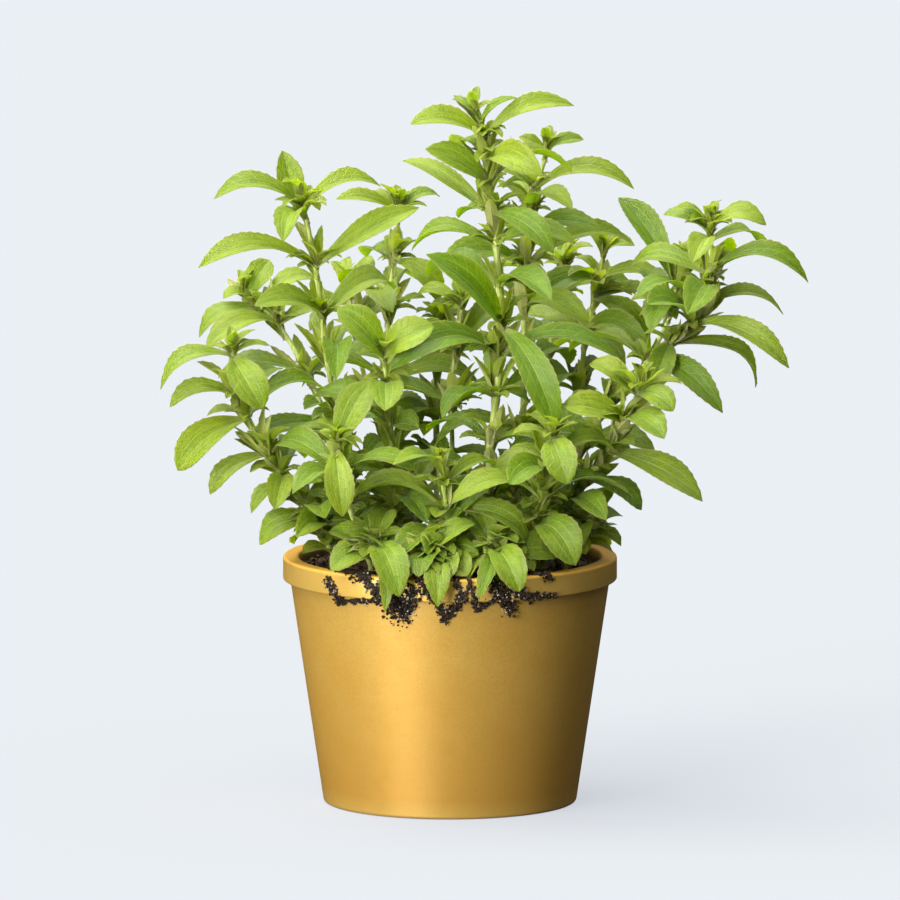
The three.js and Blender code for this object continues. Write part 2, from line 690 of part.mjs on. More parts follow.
// The two closed leaves of the bud at the tip of a stem.
function growBud(shoot, heading) {
  const root = pointAt(shoot, shoot.line.length - 1 - bud.belowTip);
  return [0, Math.PI].map((side) => {
    const turn = heading + side;
    const tip = reachedFrom(root, turn, (bud.rise + spread(looseness.rise)) * degree, bud.length);
    const face = new THREE.Vector3(-bud.lean * Math.cos(turn), -bud.lean * Math.sin(turn), 1);
    return { root, tip, arch: bud.arch, half: bud.length * bud.slimness, face };
  });
}

// A low shoot ends in its last leaf pair and has no bud.
function growShoot(shoot, habit) {
  const leaves = [];
  let heading = spread(Math.PI);
  shoot.pairs.forEach((pair) => {
    const grown = growPair(shoot, pair, heading + Math.PI / 2, habit);
    heading = grown.heading;
    leaves.push(...grown.leaves);
  });
  return habit === tallHabit ? [...leaves, ...growBud(shoot, heading + Math.PI / 2)] : leaves;
}

// Every way to bend the leaf, the straightest first.
function* bendings(leaf) {
  for (const shrink of shrinks) {
    for (const lift of lifts) {
      for (const turn of turns) yield bentLeaf(leaf, turn, lift, shrink);
    }
  }
}

// The leaf stands clear of others, and where some way of bending it allows that, of its own stem's
// leaves too.
function placeLeaf(leaf, others, own) {
  for (const neighbours of [[...others, ...own], others]) {
    for (const bent of bendings(leaf)) {
      const room = pieceOf(solidOf(bladeGeometry(bent, clearGap)));
      const crossed = meets(room, neighbours);
      room.solid.delete();
      if (!crossed) return { ...pieceOf(solidOf(bladeGeometry(bent))), root: leaf.root };
    }
  }
  return null;
}

function growPlant(shoots, pot, soil) {
  const plants = shoots.map((shoot) => {
    const stems = [pieceOf(solidOf(stemGeometry(shoot, true)))];
    if (shoot.branch) stems.push(pieceOf(solidOf(stemGeometry(shoot.branch, false))));
    const habit = tallStems.includes(shoot) ? tallHabit : lowHabit;
    const leaves = growShoot(shoot, habit);
    if (shoot.branch) leaves.push(...growShoot(shoot.branch, habit));
    return { name: shoot.name, pieces: stems, leaves };
  });
  plants.forEach((plant) => {
    plant.leaves.forEach((leaf) => {
      const others = plants.filter((other) => other !== plant).flatMap((other) => other.pieces);
      const own = plant.pieces.filter((piece) => piece.root && piece.root !== leaf.root);
      const placed = placeLeaf(leaf, [...others, pot, soil], own);
      if (placed) plant.pieces.push(placed);
    });
  });
  return plants;
}

// ---- the part ---------------------------------------------------------------------------------

function material(colour, roughness) {
  return new THREE.MeshStandardMaterial({ color: colour, roughness, metalness: 0 });
}

function addMesh(group, name, geometry, finish) {
  const mesh = new THREE.Mesh(geometry, finish);
  mesh.name = name;
  group.add(mesh);
}

const group = new THREE.Group();
const shoots = [...tallStems, ...lowShoots];
const holes = wasm.Manifold.union(shoots.map((shoot) => solidOf(holeGeometry(shoot))));
const soilSolid = solidOf(soilGeometry()).subtract(holes);
const potSolid = solidOf(potGeometry());

addMesh(group, 'pot', potGeometry(), material(potColour, 0.45));
addMesh(group, 'soil', geometryFrom(soilSolid), material(soilColour, 0.95));

growPlant(shoots, pieceOf(potSolid), pieceOf(soilSolid)).forEach((plant) => {
  const whole = wasm.Manifold.union(plant.pieces.map((piece) => piece.solid));
  const colour = plant.name.startsWith('stem') ? leafColour : shootColour;
  addMesh(group, plant.name, geometryFrom(whole), material(colour, 0.6));
});

export default group;
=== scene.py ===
# %% [markdown]
# # A stevia plant in its pot
#
# Stevia is a sweet herb that grows as a clump of leafy stems. The fixed frame already holds the pot,
# the soil and one plain solid for each leafy stem. This lesson dresses them: smooth glaze on the pot,
# crumbs on the soil, and fine leaves with teeth and veins in place of the plain ones.
#
# One way would be to scatter one leaf with a modifier. Here every leaf is its own small mesh, made by
# one function from its root, its tip and its arch, because no two leaves of a real plant are alike.

# %% Load the fixed frame
import itertools
import math

import bmesh
import bpy
import numpy as np
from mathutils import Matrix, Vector, noise
from mathutils.kdtree import KDTree


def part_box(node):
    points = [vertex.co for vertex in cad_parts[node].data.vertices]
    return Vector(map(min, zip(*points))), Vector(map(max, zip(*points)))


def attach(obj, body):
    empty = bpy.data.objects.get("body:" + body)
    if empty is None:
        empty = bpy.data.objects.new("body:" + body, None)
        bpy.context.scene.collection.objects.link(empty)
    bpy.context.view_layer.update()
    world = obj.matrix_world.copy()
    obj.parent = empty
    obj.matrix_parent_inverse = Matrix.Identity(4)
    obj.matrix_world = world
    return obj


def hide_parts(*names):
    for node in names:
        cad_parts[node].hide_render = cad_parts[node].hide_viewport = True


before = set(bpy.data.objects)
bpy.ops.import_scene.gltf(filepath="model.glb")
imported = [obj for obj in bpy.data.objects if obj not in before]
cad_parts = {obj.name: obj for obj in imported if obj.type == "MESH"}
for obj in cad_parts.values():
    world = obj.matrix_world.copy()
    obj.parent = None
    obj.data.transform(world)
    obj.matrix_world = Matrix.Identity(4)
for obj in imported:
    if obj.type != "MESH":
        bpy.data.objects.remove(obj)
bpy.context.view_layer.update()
MM = 0.001

# %% [markdown]
# ## Camera
#
# A long lens from far away keeps the pot's sides almost parallel, as in a shop's picture of a product.
# The camera looks a little down, so that the rim of the pot opens into a narrow ellipse.

# %% Camera
VIEW_DISTANCE = 8.0
VIEW_RISE = math.radians(8.08)
VIEW_WIDTH = 0.377
VIEW_CENTRE = Vector((0, 0, 0.1484))
SENSOR_WIDTH = 36
FAR_END = 80

scene = bpy.context.scene


def add_camera():
    data = bpy.data.cameras.new("camera")
    data.sensor_width = SENSOR_WIDTH
    data.lens = SENSOR_WIDTH * VIEW_DISTANCE / VIEW_WIDTH
    data.clip_end = FAR_END
    camera = bpy.data.objects.new("camera", data)
    back = Vector((0, -math.cos(VIEW_RISE), math.sin(VIEW_RISE)))
    camera.location = VIEW_CENTRE + VIEW_DISTANCE * back
    camera.rotation_euler = (math.pi / 2 - VIEW_RISE, 0, 0)
    scene.collection.objects.link(camera)
    scene.camera = camera
    return data.lens


print("lens", round(add_camera()), "mm")

# %% [markdown]
# ## Shader helpers
#
# A procedural finish is a small recipe of nodes. Most of it is a first colour with thin coats of others
# laid over it, each where a mask lets it through, as a painter lays glazes. A few helpers keep the
# recipes short: they put a node down and join it up, do sums, make masks and lay coats. Effects that
# several finishes share are node groups with named inputs and outputs.

# %% Put down nodes
def put(tree, kind, inputs=None, **settings):
    """Adds a shader node. An input that is a socket is linked, and any other value is set."""
    node = tree.nodes.new("ShaderNode" + kind)
    for name, value in settings.items():
        setattr(node, name, value)
    for name, value in (inputs or {}).items():
        if isinstance(value, bpy.types.NodeSocket):
            tree.links.new(value, node.inputs[name])
        else:
            node.inputs[name].default_value = value
    return node


def use_group(tree, group, inputs):
    return put(tree, "Group", inputs, node_tree=group).outputs


def places(tree):
    return put(tree, "TexCoord").outputs["Object"]


def marks(tree, name):
    """The three numbers that the mesh keeps under a name at each of its points."""
    node = put(tree, "Attribute", attribute_name=name)
    return put(tree, "SeparateXYZ", {0: node.outputs["Vector"]}).outputs


# %% Sums and masks
def maths(tree, operation, a, b=0.0):
    return put(tree, "Math", {0: a, 1: b}, operation=operation).outputs[0]


def times(tree, a, b):
    return maths(tree, "MULTIPLY", a, b)


def plus(tree, *terms):
    total = terms[0]
    for term in terms[1:]:
        total = maths(tree, "ADD", total, term)
    return total


def apart(tree, a, b):
    """How far apart two numbers are."""
    return maths(tree, "ABSOLUTE", maths(tree, "SUBTRACT", a, b))


def soft_mask(tree, value, start, end, low=0.0, high=1.0):
    """low where the value is under start and high over end, with a soft step between."""
    inputs = {"Value": value, "From Min": start, "From Max": end, "To Min": low, "To Max": high}
    return put(tree, "MapRange", inputs, interpolation_type="SMOOTHSTEP").outputs[0]


def fade(tree, value, start, end):
    """1 where the value is under start and 0 over end."""
    return soft_mask(tree, value, start, end, 1.0, 0.0)


# %% Coats of colour
def blend(tree, share, a, b, way="MIX"):
    """Colour a, with b over it by its share. A colour is a socket or three numbers."""
    colours = [c if isinstance(c, bpy.types.NodeSocket) else (*c, 1) for c in (a, b)]
    inputs = {0: share, 6: colours[0], 7: colours[1]}
    return put(tree, "Mix", inputs, data_type="RGBA", blend_type=way).outputs[2]


def coats(tree, colour, layers):
    """A first colour with others over it. Each layer is its mask, its strength and its colour."""
    for mask, strength, over in layers:
        share = mask if strength == 1 else times(tree, mask, strength)
        colour = blend(tree, share, colour, over)
    return colour


# %% Groups and finishes
def new_group(name, inputs, outputs):
    """An empty node group, from its inputs with their start values and the names of its outputs."""
    tree = bpy.data.node_groups.new(name, "ShaderNodeTree")
    for title, value in inputs.items():
        socket = tree.interface.new_socket(title, in_out="INPUT", socket_type="NodeSocketFloat")
        socket.default_value = value
    for title in outputs:
        tree.interface.new_socket(title, in_out="OUTPUT", socket_type="NodeSocketFloat")
    return tree, tree.nodes.new("NodeGroupInput").outputs, tree.nodes.new("NodeGroupOutput").inputs


def new_finish(name, plain):
    """A material with one Principled shader. plain holds what is the same all over the surface."""
    finish = bpy.data.materials.new(name)
    finish.use_nodes = True
    skin = finish.node_tree.nodes["Principled BSDF"].inputs
    for title, value in plain.items():
        skin[title].default_value = value
    return finish, finish.node_tree, skin


def join_up(tree, skin, colour, roughness, height, depth, strength):
    """Joins a finish's colour, roughness and relief to its shader. depth is the relief's, in metres."""
    bump = put(tree, "Bump", {"Height": height, "Distance": depth, "Strength": strength})
    for title, value in (("Base Color", colour), ("Roughness", roughness), ("Normal", bump.outputs[0])):
        tree.links.new(value, skin[title])


# %% [markdown]
# ## Shared effects
#
# Mottling is the slow drift of colour that keeps a surface from looking printed. Grain is the fine
# roughness that only shows where light grazes it. Both could be pictures, but noise in the object's
# own space needs no unwrapping and has no seams.

# %% Mottling and grain
def make_mottling():
    """Slow patches between 0 and 1. Size is the width of a patch in millimetres."""
    tree, given, out = new_group("mottling", {"Size": 10.0, "Contrast": 1.0}, ["Mask"])
    scale = maths(tree, "DIVIDE", 1 / MM, given["Size"])
    inputs = {"Vector": places(tree), "Scale": scale, "Detail": 4.0, "Roughness": 0.6}
    patches = put(tree, "TexNoise", inputs).outputs[0]
    centred = times(tree, maths(tree, "SUBTRACT", patches, 0.5), given["Contrast"])
    lifted = put(tree, "Clamp", {"Value": plus(tree, centred, 0.5)}).outputs[0]
    tree.links.new(lifted, out["Mask"])
    return tree


def make_grain():
    """Fine pits and specks: Height for a bump, and Specks that are 1 on a few points."""
    tree, given, out = new_group("grain", {"Size": 0.8, "Speck Share": 0.1}, ["Height", "Specks"])
    cells = {"Vector": places(tree), "Scale": maths(tree, "DIVIDE", 1 / MM, given["Size"])}
    fine = put(tree, "TexNoise", {**cells, "Detail": 3.0, "Roughness": 0.7}).outputs[0]
    tree.links.new(fine, out["Height"])
    dots = put(tree, "TexVoronoi", cells)
    lot = put(tree, "SeparateXYZ", {0: dots.outputs["Color"]}).outputs[0]
    chosen = maths(tree, "LESS_THAN", lot, given["Speck Share"])
    near = fade(tree, dots.outputs["Distance"], 0.12, 0.3)
    tree.links.new(times(tree, chosen, near), out["Specks"])
    return tree


MOTTLING = make_mottling()
GRAIN = make_grain()
print("shared effects:", MOTTLING.name, GRAIN.name)


def mottled(tree, size, contrast):
    return use_group(tree, MOTTLING, {"Size": size, "Contrast": contrast})["Mask"]


def grained(tree, size, speck_share):
    return use_group(tree, GRAIN, {"Size": size, "Speck Share": speck_share})


# %% [markdown]
# ## Light
#
# Plain studio light: a high lamp and a low one from the front left, one from behind on the left, one
# that shines up, and a sky that is bright overhead and dim near the ground. The low lamp reaches in
# under the leaves. The back lamp shines through them, so that their shaded sides glow, and lays the soft
# shadow at the pot's foot. A wall seen from above mirrors what lies below it, so the bright band down the
# pot is the mirror image of the lamp that shines up, through a floor that lets its light pass. All are
# suns, because a sun lights the whole floor evenly, and wide, because a wide sun has a soft shadow. The
# dim ground is what lets the far side of the pot fall dark. The floor takes shadows but sends no light
# back, as if black flags stood round the object.

# %% Light
LAMP_COLOUR = (1.0, 0.98, 0.90)
# Each lamp's name, its turn to the right of the camera and its rise in degrees, strength and width.
LAMPS = [
    ("high lamp", -37, 50, 1.7, 45),
    ("low lamp", -38, 8, 3.05, 28),
    ("lamp below", -37, -34, 0.25, 34),
    ("back lamp", -118, 62, 2.0, 40),
]
SKY_COLOUR = (1.0, 1.0, 0.82)
SKY_TOP = 1.8
SKY_GROUND = 0.03
SKY_POWER = 2.1

scene.view_settings.view_transform = "Standard"


def add_sun(name, turn, rise, strength, width):
    data = bpy.data.lights.new(name, "SUN")
    data.energy = strength
    data.angle = math.radians(width)
    data.color = LAMP_COLOUR
    sun = bpy.data.objects.new(name, data)
    sun.rotation_euler = (math.radians(90 - rise), 0, math.radians(turn))
    scene.collection.objects.link(sun)


def add_sky():
    world = bpy.data.worlds.new("sky")
    world.use_nodes = True
    tree = world.node_tree
    up = put(tree, "SeparateXYZ", {0: put(tree, "TexCoord").outputs["Generated"]}).outputs[2]
    height = maths(tree, "POWER", maths(tree, "MAXIMUM", up, 0.0), SKY_POWER)
    strength = plus(tree, times(tree, height, SKY_TOP - SKY_GROUND), SKY_GROUND)
    background = tree.nodes["Background"].inputs
    background["Color"].default_value = (*SKY_COLOUR, 1)
    tree.links.new(strength, background["Strength"])
    scene.world = world


for lamp in LAMPS:
    add_sun(*lamp)
add_sky()
print("lamps:", [lamp[0] for lamp in LAMPS])

# %% [markdown]
# ## The plant, stem by stem
#
# The solids were grown from this list, in millimetres. Each stem has a name, a girth, the points of its
# middle line from the soil to its tip, and its leaf pairs from the bottom up. A pair is found by its
# place, a count along the points of the line, and holds the leaves that are given. A leaf is its tip's x,
# y and z, its arch, its half width, and how far its face leans to the front. A leaf that isn't given
# grows by rule, with the same repeatable chance as in the solids. A branch is a stem in its own right.

# %% The list of stems
def leafy_stem(name, girth, line, pairs, branch=None):
    line = np.array(line, float)
    return {"name": name, "girth": girth, "line": line, "pairs": pairs, "branch": branch}


TALL_STEMS = [
    leafy_stem("stem_left_tall", 1.7, [
        [-32, 4, 103], [-39, 2, 127], [-45, 0, 153], [-51, -4, 185], [-55, -6, 217],
        [-59, -7, 242], [-62, -7, 252],
    ], {
        1.5: [],
        2.2: [[-88, -14, 155, 0.12, 6.5, 0.7], [-13, -16, 161, 0.15, 6.5, 0.7]],
        3: [],
        3.6: [[-81, -30, 215, 0.15, 8, 0.9]],
        4.35: [[-106, -16, 229, 0.2, 7, 0.5], [-13, 0, 251, 0.1, 7, 1]],
        5.4: [[-70, -3, 275, -0.05, 7, 3], [-70, -38, 243, 0.2, 7, 0]],
        5.85: [[-100, -12, 258, 0.22, 6.5, 0.6], [-28, -2, 262, 0.2, 6.5, 0.6]],
    }),
    leafy_stem("stem_left_lean", 1.6, [
        [-37, 20, 103], [-44, 26, 128], [-55, 32, 165], [-72, 38, 196], [-87, 40, 209],
    ], {
        1.5: [], 2.3: [],
        3: [[-103, 20, 189, 0.22, 7, 0.7], [-44, 60, 203, 0.15, 7, 0.6]],
        3.5: [[-105, 28, 192, 0.2, 6.5, 0.6]],
        3.85: [[-96, 36, 208, 0.2, 5, 0.6], [-76, 44, 223, 0.1, 6, 1]],
    }),
    leafy_stem("stem_left_low", 1.5, [
        [-44, -6, 103], [-57, -12, 121], [-69, -18, 138], [-80, -22, 156], [-89, -24, 173],
        [-91, -24, 193],
    ], {
        1.3: [],
        2.1: [[-79, -42, 130, 0.15, 7, 1.2]],
        2.6: [[-101, -28, 134, 0.15, 6, 0.6]],
        3.5: [[-115, -34, 145, 0.15, 9, 1]],
        4: [[-118, -30, 172, 0.2, 6, 0.5], [-69, -8, 185, 0.15, 7, 0.6]],
        4.9: [[-121, -28, 178, 0.25, 7, 0.6], [-78, -44, 172, 0.15, 8.5, 2]],
    }),
    leafy_stem("stem_back_left", 1.6, [
        [-22, 30, 103], [-24, 38, 130], [-26, 46, 163], [-26, 52, 196], [-24, 56, 220],
        [-21, 58, 243],
    ], {
        1.3: [], 2.2: [], 3.1: [],
        4: [[-36, 78, 222, 0.15, 6.5, 0.3], [-3, 48, 205, 0.3, 6.5, 0.8]],
        4.85: [[-48, 52, 248, 0.15, 5, 0.6]],
    }),
    leafy_stem("stem_front_left", 1.5, [
        [-23, -16, 103], [-24, -22, 135], [-25, -28, 165], [-28, -34, 195],
    ], {
        0.7: [], 1.2: [],
        1.9: [[-13, -34, 162, 0.15, 7, 0.8]],
        2.5: [[-27, -62, 174, 0.15, 8, 2.5]],
        2.9: [[-7, -44, 207, 0.15, 8.5, 1.2], [-47, -42, 214, 0.15, 8.5, 1.2]],
    }),
    leafy_stem("stem_centre_tall", 1.9, [
        [16, -12, 103], [16, -14, 138], [19, -16, 172], [21, -18, 202], [20, -18, 229],
        [17, -15, 254], [15, -12, 275], [13, -10, 287], [10, -10, 291],
    ], {
        0.85: [[-6, -50, 127, 0.2, 9, 1]],
        1.4: [], 2: [],
        2.6: [[-28, -32, 188, 0.28, 8, 0.8], [71, -24, 191, 0.22, 7, 0.6]],
        3: [[-8, -46, 238, 0.1, 9, 1.3], [45, -48, 162, 0.25, 8, 1.2]],
        3.6: [],
        4.3: [[-18, -12, 236, 0.22, 7, 0.6]],
        4.8: [[-20, 0, 272, 0.05, 6.5, 0.8], [47, -38, 238, 0.2, 7, 0.8]],
        5.35: [[-10, -24, 279, 0.08, 7, 1]],
        5.85: [[38, -40, 271, 0.15, 8, 1.5], [1, 24, 272, 0.15, 6.5, 0.3]],
        6.45: [[-17, -20, 290, 0.18, 7, 0.8], [52, -6, 295, 0.2, 6, 0.6]],
        7: [[28, -14, 299, 0.15, 3.5, 0.6], [1, -6, 297, 0.2, 3.5, 0.6]],
    }),
    leafy_stem("stem_centre_back", 1.7, [
        [24, 14, 103], [29, 18, 137], [31, 22, 171], [31, 26, 204], [32, 28, 233], [36, 30, 254],
        [41, 31, 271],
    ], {
        0.8: [], 1.4: [], 2.2: [],
        3: [[59, 4, 203, 0.2, 7, 0.8]],
        3.6: [[77, 42, 231, 0.25, 6.5, 0.6]],
        4: [[64, 8, 241, 0.2, 6.5, 0.7]],
        4.5: [[51, -8, 253, 0.2, 6.5, 0.8]],
        5: [[79, 18, 259, 0.22, 7, 0.7], [12, 40, 265, 0.15, 7, 0.6]],
        5.9: [[56, 28, 276, 0.2, 4, 0.6], [29, 30, 277, 0.1, 3.5, 0.6]],
    }),
    leafy_stem("stem_right_back", 1.6, [
        [31, 28, 103], [44, 36, 131], [53, 44, 159], [57, 50, 188], [62, 54, 209], [65, 56, 225],
    ], {
        1.4: [], 2.2: [], 3: [],
        3.8: [[91, 62, 201, 0.2, 6.5, 0.5], [74, 30, 190, 0.2, 6.5, 1.5]],
        4.2: [[91, 48, 213, 0.2, 6.5, 0.7], [36, 44, 206, 0.25, 7, 0.7]],
        4.85: [[78, 52, 229, 0.2, 5, 0.6], [59, 68, 235, 0.1, 5, 0.4]],
    }),
    leafy_stem("stem_right_long", 1.8, [
        [34, -2, 103], [46, 2, 130], [62, 6, 160], [82, 6, 184], [101, 2, 200], [108, 0, 220],
        [109, 0, 236], [109, 0, 243],
    ], {
        1.5: [], 2.2: [],
        3: [[115, -30, 170, 0.2, 6.5, 0.8]],
        3.5: [[132, 24, 173, 0.2, 6.5, 0.6], [84, -28, 176, 0.15, 6.5, 1]],
        4: [[142, -20, 186, 0.22, 7, 0.7], [82, -38, 215, 0.1, 9, 1.2]],
        4.4: [[140, 22, 203, 0.2, 6, 0.5]],
        4.8: [[99, -38, 212, 0.15, 8, 1.5]],
        5.1: [[152, -8, 222, 0.28, 7, 0.6]],
        6.1: [[132, 26, 229, 0.2, 6, 0.5], [101, -30, 232, 0.15, 6, 1]],
        6.6: [[133, -8, 246, 0.25, 6, 0.6], [89, 4, 248, 0.2, 5, 0.6]],
    }, branch=leafy_stem("stem_right_long_branch", 1.2, [
        [82, 6, 184], [91, 10, 201], [95, 12, 215], [97, 13, 224],
    ], {
        1.1: [[80, 40, 219, 0.15, 6.5, 0.5]],
        2: [[65, 14, 253, 0.06, 8, 1.3], [108, 34, 228, 0.1, 6.5, 0.4]],
        2.75: [[101, 10, 235, 0.1, 3.5, 0.6], [90, 20, 231, 0.1, 3.5, 0.6]],
    })),
    leafy_stem("stem_right_low", 1.8, [
        [39, -14, 103], [49, -20, 127], [62, -28, 147], [72, -34, 164], [80, -38, 181],
    ], {
        1.1: [[65, -50, 127, 0.15, 6.5, 1]],
        1.6: [[81, -30, 128, 0.15, 6, 0.6]],
        2.3: [[106, -40, 133, 0.1, 8, 1], [41, -32, 161, 0.15, 6.5, 0.8]],
        3: [[89, -62, 163, 0.15, 8, 0.8], [47, -46, 174, 0.15, 8, 1.2]],
        3.7: [[93, -50, 172, 0.2, 6.5, 0.8], [58, -36, 191, 0.15, 6.5, 1]],
    }),
    leafy_stem("stem_back_centre_left", 1.3, [
        [-5, 40, 103], [-6, 50, 133], [-6, 58, 166], [-4, 62, 194],
    ], {
        1: [], 1.6: [], 2.3: [], 2.9: [],
    }),
    leafy_stem("stem_back_centre", 1.3, [
        [2, 20, 103], [1, 26, 141], [1, 32, 174], [5, 36, 207],
    ], {
        0.8: [], 1.6: [], 2.3: [], 2.9: [],
    }),
    leafy_stem("stem_back_right", 1.6, [
        [22, 42, 103], [30, 62, 135], [40, 78, 171], [46, 88, 200], [49, 92, 215],
    ], {
        2.2: [], 3: [], 3.8: [],
    }),
    leafy_stem("stem_back_far_left", 1.5, [
        [-13, 46, 103], [-27, 68, 139], [-39, 84, 179], [-43, 92, 207],
    ], {
        1.4: [], 2.2: [],
        2.8: [[-33, 72, 217, 0.2, 8, 0.6]],
    }),
    leafy_stem("stem_front_centre", 1.3, [
        [0, -30, 103], [-1, -42, 125], [-4, -52, 147],
    ], {
        0.6: [], 1.1: [], 1.65: [],
    }),
    leafy_stem("stem_front_right", 1.4, [
        [31, -28, 103], [38, -42, 133], [43, -52, 162],
    ], {
        0.6: [[53, -60, 109, 0.25, 9, 1]],
        1: [],
        1.5: [[21, -58, 144, 0.15, 8, 0.8]],
        1.9: [[49, -74, 145, 0.2, 8, 2]],
    }),
    leafy_stem("stem_front_left_low", 1.4, [
        [-33, -24, 103], [-43, -40, 133], [-48, -50, 158],
    ], {
        1: [], 1.4: [],
        1.9: [[-47, -68, 130, 0.2, 7, 2.5], [-33, -48, 185, 0.1, 8, 1]],
    }),
]

# Short young shoots round the foot of the plant, whose broad leaves spill over the rim.
LOW_SHOOTS = [
    leafy_stem("shoot_rim_left", 1.3, [
        [-47, -12, 103], [-52, -16, 112], [-56, -19, 120],
    ], {
        1.2: [[-64, -44, 119, 0.2, 6.5, 1], [-28, -30, 118, 0.2, 6.5, 0.8]],
        1.9: [[-80, -22, 112, 0.3, 8, 0.8], [-52, -46, 124, 0.2, 6.5, 0.8]],
    }),
    leafy_stem("shoot_front_left", 1.3, [
        [-24, -36, 103], [-28, -43, 109], [-32, -50, 114],
    ], {
        0.6: [[-27, -76, 92, 0.28, 4.5, 1], [-8, -28, 118, 0.15, 7, 0.8]],
        1.2: [[-50, -60, 107, 0.2, 7.5, 1], [-50, -36, 120, 0.2, 6.5, 1]],
        1.9: [[-18, -74, 97.5, 0.3, 8.5, 1], [-26, -34, 128, 0.15, 7, 0.8]],
    }),
    leafy_stem("shoot_front", 1.3, [
        [-3, -42, 103], [-6, -50, 108], [-9, -57, 112],
    ], {
        0.75: [[12, -60, 114, 0.2, 6.5, 1], [-22, -36, 120, 0.2, 7, 1]],
        1.25: [[1, -76, 93.5, 0.3, 6, 1], [-12, -34, 126, 0.15, 6.5, 1.5]],
        1.8: [[-19, -62, 120, 0.15, 6, 1], [8, -46, 126, 0.2, 6, 1]],
    }),
    leafy_stem("shoot_front_right", 1.3, [
        [22, -36, 103], [21, -45, 108], [19, -53, 112],
    ], {
        0.7: [[12, -77, 96.5, 0.28, 5, 1], [4, -42, 121, 0.2, 7, 1]],
        1.3: [[46, -50, 112, 0.2, 8, 1], [31, -28, 123, 0.15, 6.5, 1]],
        1.9: [[29, -74, 99.5, 0.3, 8.5, 1], [9, -42, 129, 0.15, 7, 1]],
    }),
    leafy_stem("shoot_rim_right", 1.3, [
        [48, -14, 103], [53, -17, 110], [57, -20, 118],
    ], {
        1.2: [[72, -6, 122, 0.2, 6.5, 0.6], [38, -36, 118, 0.2, 6.5, 0.8]],
        1.9: [[68, -26, 136, 0.1, 6, 0.8], [52, -52, 112, 0.2, 6.5, 1]],
    }),
    leafy_stem("shoot_back_left", 1.3, [
        [-34, 38, 103], [-38, 44, 110], [-42, 49, 117],
    ], {
        1.2: [], 1.9: [],
    }),
    leafy_stem("shoot_back_right", 1.3, [
        [36, 40, 103], [41, 45, 110], [45, 50, 118],
    ], {
        1.2: [], 1.9: [],
    }),
]
print(len(TALL_STEMS), "tall stems and", len(LOW_SHOOTS), "low shoots")

# %% [markdown]
# ## Growing by rule
#
# Stevia leaves stand in opposite pairs, each pair square to the one below. They are longest in the middle
# of a stem, and the upper ones point higher. The rule below says so in numbers, with a little chance so
# that no two are alike. Blender's own dice would grow other leaves than the solids have, so this is the
# simple dice that grew the solids: each throw is worked out from the one before.

# %% Repeatable dice
DICE_FACTOR = 1664525
DICE_STEP = 1013904223
DICE_SIZE = 2**32
DICE_START = 20261
thrown = [DICE_START]


def chance():
    thrown[0] = (thrown[0] * DICE_FACTOR + DICE_STEP) % DICE_SIZE
    return thrown[0] / DICE_SIZE


def spread(amount):
    return amount * (2 * chance() - 1)


# %% Points and headings
def unit(vectors):
    return vectors / np.linalg.norm(vectors, axis=-1, keepdims=True)


def point_at(stem, at):
    """The point of the stem's line that is at spans along it."""
    span = min(int(at), len(stem["line"]) - 2)
    start, end = stem["line"][span : span + 2]
    return start + (end - start) * (at - span)


def reached_from(root, heading, rise, length):
    flat = length * math.cos(rise)
    return root + np.array([flat * math.cos(heading), flat * math.sin(heading), length * math.sin(rise)])


def heading_to(root, tip):
    return math.atan2(tip[1] - root[1], tip[0] - root[0])


# %% One leaf, given or by rule
TALL_HABIT = {"length": 39, "slimness": 0.195, "low_rise": 0, "extra_rise": 28, "arch": 0.21, "lean": 0.4}
LOW_HABIT = {"length": 28, "slimness": 0.27, "low_rise": 4, "extra_rise": 20, "arch": 0.22, "lean": 0.3}
LOOSENESS = {"length": 0.1, "rise": 8, "turn": 14, "arch": 0.05, "face": 0.35}
TOP_TAPER = {"from": 0.7, "loss": 0.5}
FOOT_TAPER = {"to": 0.4, "share": 0.7}


def given_leaf(root, spec):
    *tip, arch, half, lean = spec
    face = np.array([0, -lean, 1.0])
    return {"root": root, "tip": np.array(tip, float), "arch": arch, "half": half, "face": face}


def ruled_leaf(root, heading, along, habit):
    """Longest in the middle of the stem, shorter at its foot and its tip."""
    top = 1 - TOP_TAPER["loss"] * max(0, (along - TOP_TAPER["from"]) / (1 - TOP_TAPER["from"]))
    foot = FOOT_TAPER["share"] + (1 - FOOT_TAPER["share"]) * min(1, along / FOOT_TAPER["to"])
    length = habit["length"] * top * foot * (1 + spread(LOOSENESS["length"]))
    rise = habit["low_rise"] + habit["extra_rise"] * along**2 + spread(LOOSENESS["rise"])
    turn = heading + math.radians(spread(LOOSENESS["turn"]))
    tip = reached_from(root, turn, math.radians(rise), length)
    face = np.array([spread(LOOSENESS["face"]), spread(LOOSENESS["face"]) - habit["lean"], 1.0])
    arch = habit["arch"] + spread(LOOSENESS["arch"])
    return {"root": root, "tip": tip, "arch": arch, "half": length * habit["slimness"], "face": face}


# %% Leaf pairs and buds
BUD = {"length": 13, "rise": 58, "slimness": 0.2, "arch": 0.1, "lean": 0.6, "below_tip": 0.05}


def grow_pair(stem, at, given, heading, habit):
    """The two leaves of a pair stand opposite each other, square to the pair below."""
    root = point_at(stem, at)
    along = at / (len(stem["line"]) - 1)
    ahead = heading_to(root, given[0]) if given else heading
    by_rule = (ahead, ahead + math.pi)[len(given) :]
    pair = [given_leaf(root, spec) for spec in given]
    pair += [ruled_leaf(root, turn, along, habit) for turn in by_rule]
    return [{**leaf, "along": along, "at": at} for leaf in pair], ahead


